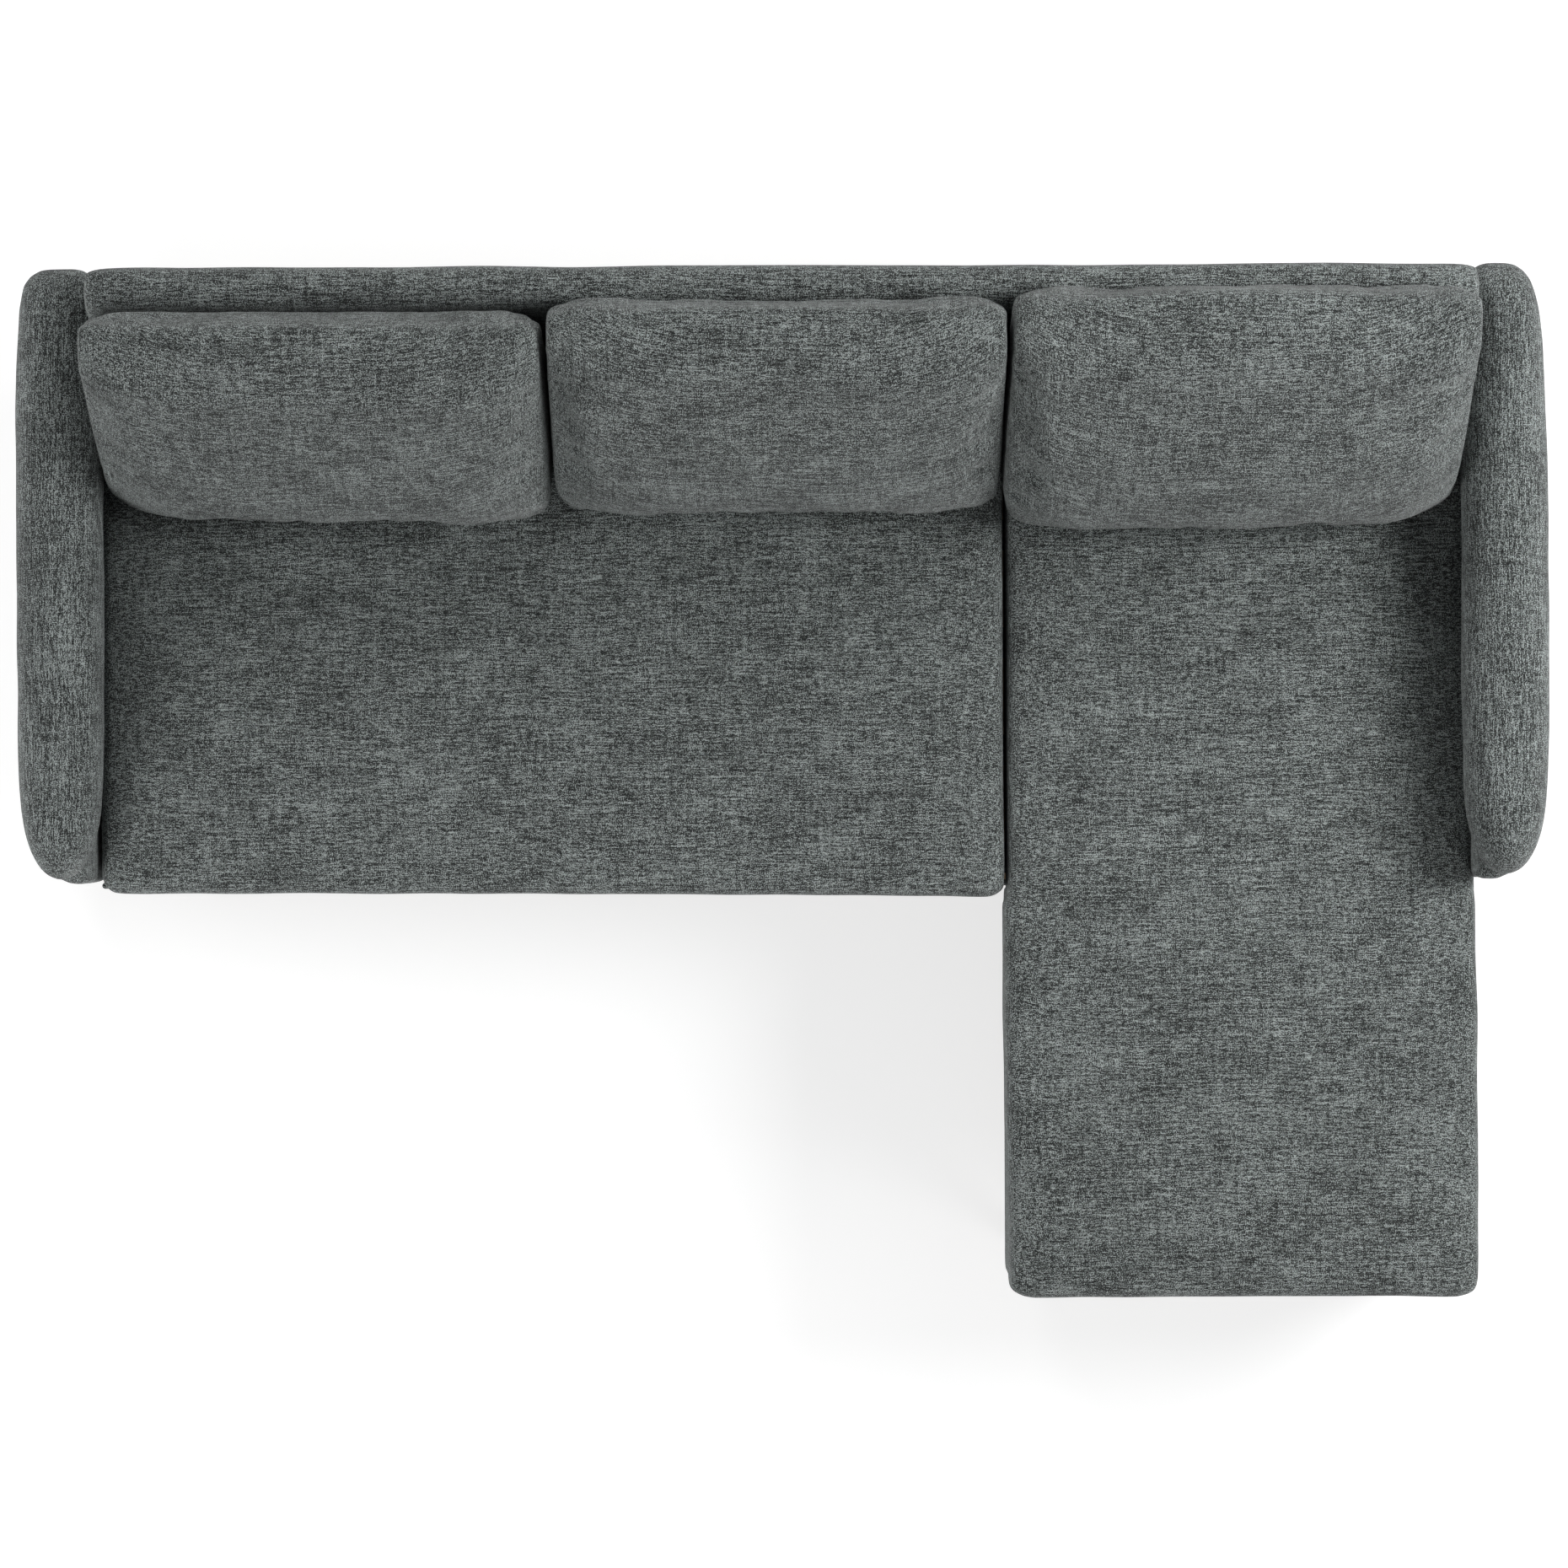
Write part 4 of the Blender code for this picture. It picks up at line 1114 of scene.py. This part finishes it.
arms = []
for side in (-1, 1):
    piece = arm_piece(side)
    remade(piece, voxel=0.008)
    smoothed(piece, rounds=5)
    reach = sorted((side * 1.2015, side * 1.066))
    fitted(piece, (reach[0], None, arm_foot), (reach[1], None, arm_top))
    press_unevenness(piece, side * 4.0 + 9.0, depth=0.0022, size=0.11)
    round_off(piece, 1)
    x, y, z = points_of(piece).T
    set_points(piece, rows(x, y, np.where(z < arm_foot + 0.004, arm_foot, z)))
    dressed(piece, cloth_along, piece.name + "_cover", piece.name + "_padding", fill=0.95)
    arms.append(piece)

# %% [markdown]
# ## The back
#
# One long upholstered back runs behind all three seats: an upright rear face, a soft roll along
# the top, and a leaning front face that the cushions hide. It is lofted along its length.

# %% Loft the back
back_half = 1.068
foot_half = 1.1065
back_rear = 0.8095
back_top = 0.775


roll_rise = 0.036
front_levels = (0.2904, 0.36, 0.43, 0.50, 0.58, 0.66, 0.71)
rear_levels = (0.70, 0.60, 0.45, 0.30, 0.16, 0.117)


def back_section(lower):
    """Points (Y, Z) round the back, up its front face, over the roll and down to its rear foot."""
    top = back_top - lower
    front_top = back_face_y(face_top)
    section = []
    for height in front_levels:
        section.append((back_face_y(height), height))
    middle = (front_top + back_rear) / 2
    half = (back_rear - front_top) / 2
    for angle in range(180, -1, -20):
        turn = math.radians(angle)
        height = top - roll_rise + roll_rise * math.sin(turn)
        section.append((middle + half * math.cos(turn), height))
    for height in rear_levels:
        section.append((back_rear, height))
    return section


stations = ((0, 0.022), (0.003, 0.011), (0.008, 0.004), (0.02, 0.0005), (0.05, 0), (0.25, 0))
stations += ((0.5, 0), *((1 - share, lower) for share, lower in reversed(stations)))
sections = []
for share, lower in stations:
    drawn = 0.010 * (lower / stations[0][1])
    section = []
    for y, z in back_section(lower):
        half = back_half if z > 0.46 else blend(foot_half, back_half, max(0, (z - 0.43) / 0.03))
        section.append((blend(-half, half, share), min(y, back_rear - drawn), z))
    sections.append(section)
sofa_back = new_piece("sofa_back", lofted(sections))
round_off(sofa_back, 2)
remade(sofa_back, voxel=0.009)
smoothed(sofa_back, rounds=3)
press_unevenness(sofa_back, 21.0, depth=0.0022, size=0.13)
round_off(sofa_back, 1)
dressed(sofa_back, cloth_across, "back_cover", "back_padding", fill=0.95)

# %% [markdown]
# ## Front border and chaise band
#
# Padded cloth hides the rails under the pads. Both keep the frame's own form with soft edges,
# and the band's left side is drawn in a little towards its foot.


# %% Copy, round and dress the borders
soft_edge = 0.0015


def bordered(name, node_name):
    piece = new_object(name, nodes[node_name].data.copy())
    form = bmesh.new()
    form.from_mesh(piece.data)
    bmesh.ops.remove_doubles(form, verts=form.verts, dist=0.00001)
    form.to_mesh(piece.data)
    form.free()
    modified(piece, "BEVEL", width=soft_edge, segments=3, limit_method="ANGLE")
    piece.data.shade_smooth()
    dressed(piece, cloth_across, node_name)
    return piece


band_reach = 0.010
band_height = 0.17
drawn_in = 0.0085
drawn_less = 0.0015


def draw_in_left(piece):
    """Draws the band's left side in, most at its foot, where the pad hangs over it."""
    x, y, z = points_of(piece).T
    near = np.clip((x.min() + band_reach - x) / band_reach, 0, 1)
    x += near * (drawn_in - drawn_less * (z - z.min()) / band_height)
    set_points(piece, rows(x, y, z))


bordered("front_border", "sofa_front_border")
draw_in_left(bordered("chaise_band", "chaise_base_cover"))

# %% [markdown]
# ## Seams
#
# A plain seam is two turned edges sewn face to face: two low ridges with a thread line sunk
# between them, puckered a little by every stitch. It is laid on the finished surface, because
# a ridge of half a millimetre would need a far finer mesh than the soft body has. The pads have
# one round their top and one round their bottom edge. The cushions' seam runs round the rear
# edge, out of sight from the front. Arms and back have theirs where roll and body meet.


# %% Cut a loop and lay a seam along it
seam_step = 0.0024
stitch_length = 0.0072
seam_profile = ((-2.9, -0.5), (-1.7, 0.42), (-0.6, 0.30), (0.0, -0.55))
seam_profile += tuple((-offset, rise) for offset, rise in reversed(seam_profile[:-1]))
pad_seam_in = 0.013
arm_seam = 0.462
back_seam = 0.716
cushion_seam_middle = 0.55


def cut_loops(piece, spot, facing):
    """The closed lines in which a plane cuts a piece."""
    form = bmesh.new()
    form.from_mesh(piece.data)
    everything = form.verts[:] + form.edges[:] + form.faces[:]
    cut = bmesh.ops.bisect_plane(form, geom=everything, plane_co=spot, plane_no=facing)
    edges = [item for item in cut["geom_cut"] if isinstance(item, bmesh.types.BMEdge)]
    beside = {}
    for edge in edges:
        for one, other in (edge.verts, reversed(edge.verts)):
            beside.setdefault(one, []).append(other)
    loops = []
    while beside:
        here, nexts = beside.popitem()
        loop = [here.co.copy()]
        while nexts:
            following = next((vert for vert in nexts if vert in beside), None)
            if following is None:
                break
            loop.append(following.co.copy())
            nexts = beside.pop(following)
        loops.append(loop)
    form.free()
    return [loop for loop in loops if len(loop) > 40]


def evenly(loop, step):
    """A closed line's points at even steps."""
    line = np.array([tuple(spot) for spot in loop + loop[:1]])
    lengths = np.linalg.norm(np.diff(line, axis=0), axis=1)
    run = np.concatenate(([0], np.cumsum(lengths)))
    count = int(run[-1] / step)
    at = np.linspace(0, run[-1], count, endpoint=False)
    spots = np.stack([np.interp(at, run, line[:, axis]) for axis in range(3)], axis=1)
    for _ in range(3):
        spots = (np.roll(spots, 1, axis=0) + spots * 2 + np.roll(spots, -1, axis=0)) / 4
    return spots


def seam_on(host, title, cuts, cloth):
    """A seam laid on a piece along each line where a plane cuts it."""
    surface = BVHTree.FromObject(host, bpy.context.evaluated_depsgraph_get())
    spots, faces = [], []
    wide = len(seam_profile)
    for place, facing in cuts:
        for loop in cut_loops(host, place, facing):
            line = evenly(loop, seam_step)
            start = len(spots)
            for index, spot in enumerate(line):
                along = Vector(line[(index + 1) % len(line)] - line[index - 1]).normalized()
                on_cloth, out, _, _ = surface.find_nearest(Vector(spot))
                across = out.cross(along).normalized()
                pucker = 0.85 + 0.15 * math.cos(2 * math.pi * index * seam_step / stitch_length)
                for offset, rise in seam_profile:
                    lift = rise * pucker if rise > 0 else rise
                    spots.append(on_cloth + across * offset / 1000 + out * lift / 1000)
            for index in range(len(line)):
                after = (index + 1) % len(line)
                for step in range(wide):
                    near, far = start + index * wide, start + after * wide
                    beside = (step + 1) % wide
                    faces.append((near + step, far + step, far + beside, near + beside))
    mesh = bpy.data.meshes.new(title)
    mesh.from_pydata(spots, [], faces)
    mesh.shade_smooth()
    dressed(new_object(title, mesh), cloth)


# %% Sew everything
upward = (0, 0, 1)
for name, piece in pads.items():
    edges = [((0, 0, z), upward) for z in (pad_bottom + pad_seam_in, pad_top - pad_seam_in)]
    seam_on(piece, name + "_seams", edges, cloth_across)
for name, piece in made_cushions.items():
    y = back_face_y(cushion_seam_middle) - cushion_gap - 0.009
    rear_edge = [((0, y, cushion_seam_middle), (0, 1, -lean))]
    seam_on(piece, name + "_seam", rear_edge, cloth_across)
for piece in arms:
    seam_on(piece, piece.name + "_seams", [((0, 0, arm_seam), upward)], cloth_along)
seam_on(sofa_back, "sofa_back_seams", [((0, 0, back_seam), upward)], cloth_across)

# %% [markdown]
# ## Zips
#
# Two narrow tapes carry the teeth, and the slider runs between them. Tapes and teeth are black,
# as on most furniture covers. The teeth are small blocks, set on either side of the slider's neck.
# All is in millimetres: tape, beaded edge, tooth and end stop reach this far from the middle.

# %% Black tape
zip_black, tree, shader, spot, _ = new_material("black zip tape and teeth")
ribs = noise_at(tree, spot, (0.0006, 0.004, 0.004))
worn = noise_at(tree, spot, (0.03, 0.006, 0.006), 3.0)
tone = mix_colours(tree, worn, (0.010, 0.010, 0.011), (0.036, 0.036, 0.038))
rough = ramp(tree, ribs, 0.3, 0.7, 0.62, 0.48)
finish_shader(tree, shader, tone, rough, ribs, strength=0.4, distance=0.0002)
print("tape:", zip_black.name)

# %% Lay the tapes and teeth
tooth_pitch = 2.2
tooth_half = 0.6
zip_parts = ((2.2, 6.6), (2.2, 2.9), (1.7, 3.2), (0.4, 3.3))
box_faces = ((0, 1, 3, 2), (4, 6, 7, 5), (0, 4, 5, 1), (2, 3, 7, 6), (0, 2, 6, 4), (1, 5, 7, 3))


def zip_piece(name, place):
    down = Vector((0, -lean, -1)).normalized()
    run = Vector((1, 0, 0))
    out = run.cross(down)
    half = (place["right"] - place["left"]) / 2 * 1000
    middle = (place["left"] + place["right"]) / 2
    height = place["height"]
    centre = Vector((middle, back_face_y(height) - place["gap"], height))
    spots, faces = [], []

    def block(u, v, w, shrink=0.0):
        """A block between these limits along the zip, across it and outwards, in millimetres."""
        start = len(spots)
        for x in u:
            for y in v:
                for z in w:
                    pull = shrink if z == w[1] else 0.0
                    near = y + pull if y == v[0] else y - pull
                    spots.append(centre + run * x / 1000 + down * near / 1000 + out * z / 1000)
        faces.extend(tuple(start + corner for corner in ring) for ring in box_faces)

    for side in (-1, 1):
        tape, bead, tooth, stop = (sorted((side * near, side * far)) for near, far in zip_parts)
        block((-half - 5, half + 5), tape, (-1.2, -0.5))
        block((-half - 0.4, half + 0.4), bead, (-1.4, -0.3))
        at = -half + (tooth_pitch / 2 if side > 0 else tooth_pitch)
        while at < half - 1.0:
            block((at - tooth_half, at + tooth_half), tooth, (-1.7, 0.1), 0.3)
            at += tooth_pitch
        for end in ((-half - 2.2, -half - 0.2), (half + 0.2, half + 2.2)):
            block(end, stop, (-1.6, 0.2), 0.2)
    mesh = bpy.data.meshes.new(name + "_zip")
    mesh.from_pydata(spots, [], faces)
    form = bmesh.new()
    form.from_mesh(mesh)
    bmesh.ops.recalc_face_normals(form, faces=form.faces)
    form.to_mesh(mesh)
    form.free()
    dressed(new_object(name + "_zip_tapes", mesh), zip_black, slot="black_lining")


for name, place in zips.items():
    zip_piece(name, place)

# %% [markdown]
# ## Floor, light and camera
#
# The picture is taken straight down from about eight metres on a pure white floor, with
# softboxes on all sides: the strongest from the right, the next from the front left. Arms and
# cushions are lit on their flanks, and the seat falls into shade beside them. The floor is white
# to the camera but still takes the sofa's shadow.

# %% The floor
floor_mesh = bpy.data.meshes.new("floor")
floor_half = 14.0
floor_glow = 1.335
glow_share = 0.50
turns = ((-1, -1), (1, -1), (1, 1), (-1, 1))
floor_mesh.from_pydata([(x * floor_half, y * floor_half, 0) for x, y in turns], [], [(0, 1, 2, 3)])
floor = new_object("floor", floor_mesh)
floor.location.z = -0.001
white_floor = bpy.data.materials.new("white floor")
white_floor.use_nodes = True
tree = white_floor.node_tree
tree.nodes.remove(tree.nodes["Principled BSDF"])
matt = add_node(tree, "BsdfDiffuse", {"Color": (0.96, 0.96, 0.96)})
plain = add_node(tree, "Emission", {"Color": (1.0, 1.0, 1.0), "Strength": floor_glow})
rays = add_node(tree, "LightPath").outputs
seen = sums(tree, "MAXIMUM", rays["Is Camera Ray"], rays["Is Glossy Ray"])
seen = sums(tree, "MAXIMUM", seen, rays["Is Transmission Ray"])
share = sums(tree, "MULTIPLY", seen, glow_share)
both = add_node(tree, "MixShader", {0: share, 1: matt.outputs[0], 2: plain.outputs[0]})
tree.links.new(both.outputs[0], tree.nodes["Material Output"].inputs["Surface"])
floor_mesh.materials.append(white_floor)
floor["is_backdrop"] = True
print("floor:", 2 * floor_half, "m square")


# %% The lamps and the world
lamp_target = Vector((0, 0.2, 0.4))
softbox_size = 1.6


def soft_lamp(name, place, power):
    lamp = bpy.data.lights.new(name, "AREA")
    configure(lamp, {"shape": "DISK", "size": softbox_size, "energy": power})
    stand = new_object(name, lamp)
    stand.location = place
    stand.rotation_euler = (lamp_target - Vector(place)).to_track_quat("-Z", "Y").to_euler()


for name, place, power in (
    ("main softbox, right", (3.2, 0.6, 3.0), 116),
    ("softbox, front left", (-2.4, -2.2, 1.7), 54),
    ("softbox, rear left", (-1.6, 3.2, 2.9), 44),
    ("softbox, front right", (3.0, -2.6, 1.3), 32),
    ("softbox, rear right", (1.6, 3.2, 2.9), 26),
    ("softbox, left", (-3.2, 0.8, 1.6), 12),
):
    soft_lamp(name, place, power)
horizon = 0.05
zenith = 0.20
world = bpy.data.worlds.new("studio")
bpy.context.scene.world = world
world.use_nodes = True
tree = world.node_tree
ray = tree.nodes.new("ShaderNodeTexCoord").outputs["Generated"]
height = add_node(tree, "SeparateXYZ", {0: ray}).outputs["Z"]
sky = ramp(tree, height, 0.0, 1.0, horizon, zenith, "LINEAR")
fill_sockets(tree, tree.nodes["Background"], {"Strength": sky, "Color": (1.0, 1.0, 1.0)})
bpy.context.scene.view_settings.view_transform = "Standard"
print("lamps:", len(bpy.data.lights))

# %% The camera
camera_height = 8.0
camera_turn = -0.22
camera_data = bpy.data.cameras.new("camera")
configure(camera_data, {"lens": 109.1, "sensor_width": 36})
camera = new_object("camera", camera_data)
camera.location = (0.001, 0.016, camera_height)
camera.rotation_euler = (0, 0, math.radians(camera_turn))
bpy.context.scene.camera = camera
print("camera", camera_height, "m above the floor")

# %% [markdown]
# ## Finish
#
# The size of the dressed sofa is kept beside the frame's, to show how little the cloth adds.

# %% Keep both boxes and finish
visual_box = [list(map(float, corner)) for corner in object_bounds()]
print("dressed box:", [[round(value, 3) for value in corner] for corner in visual_box])
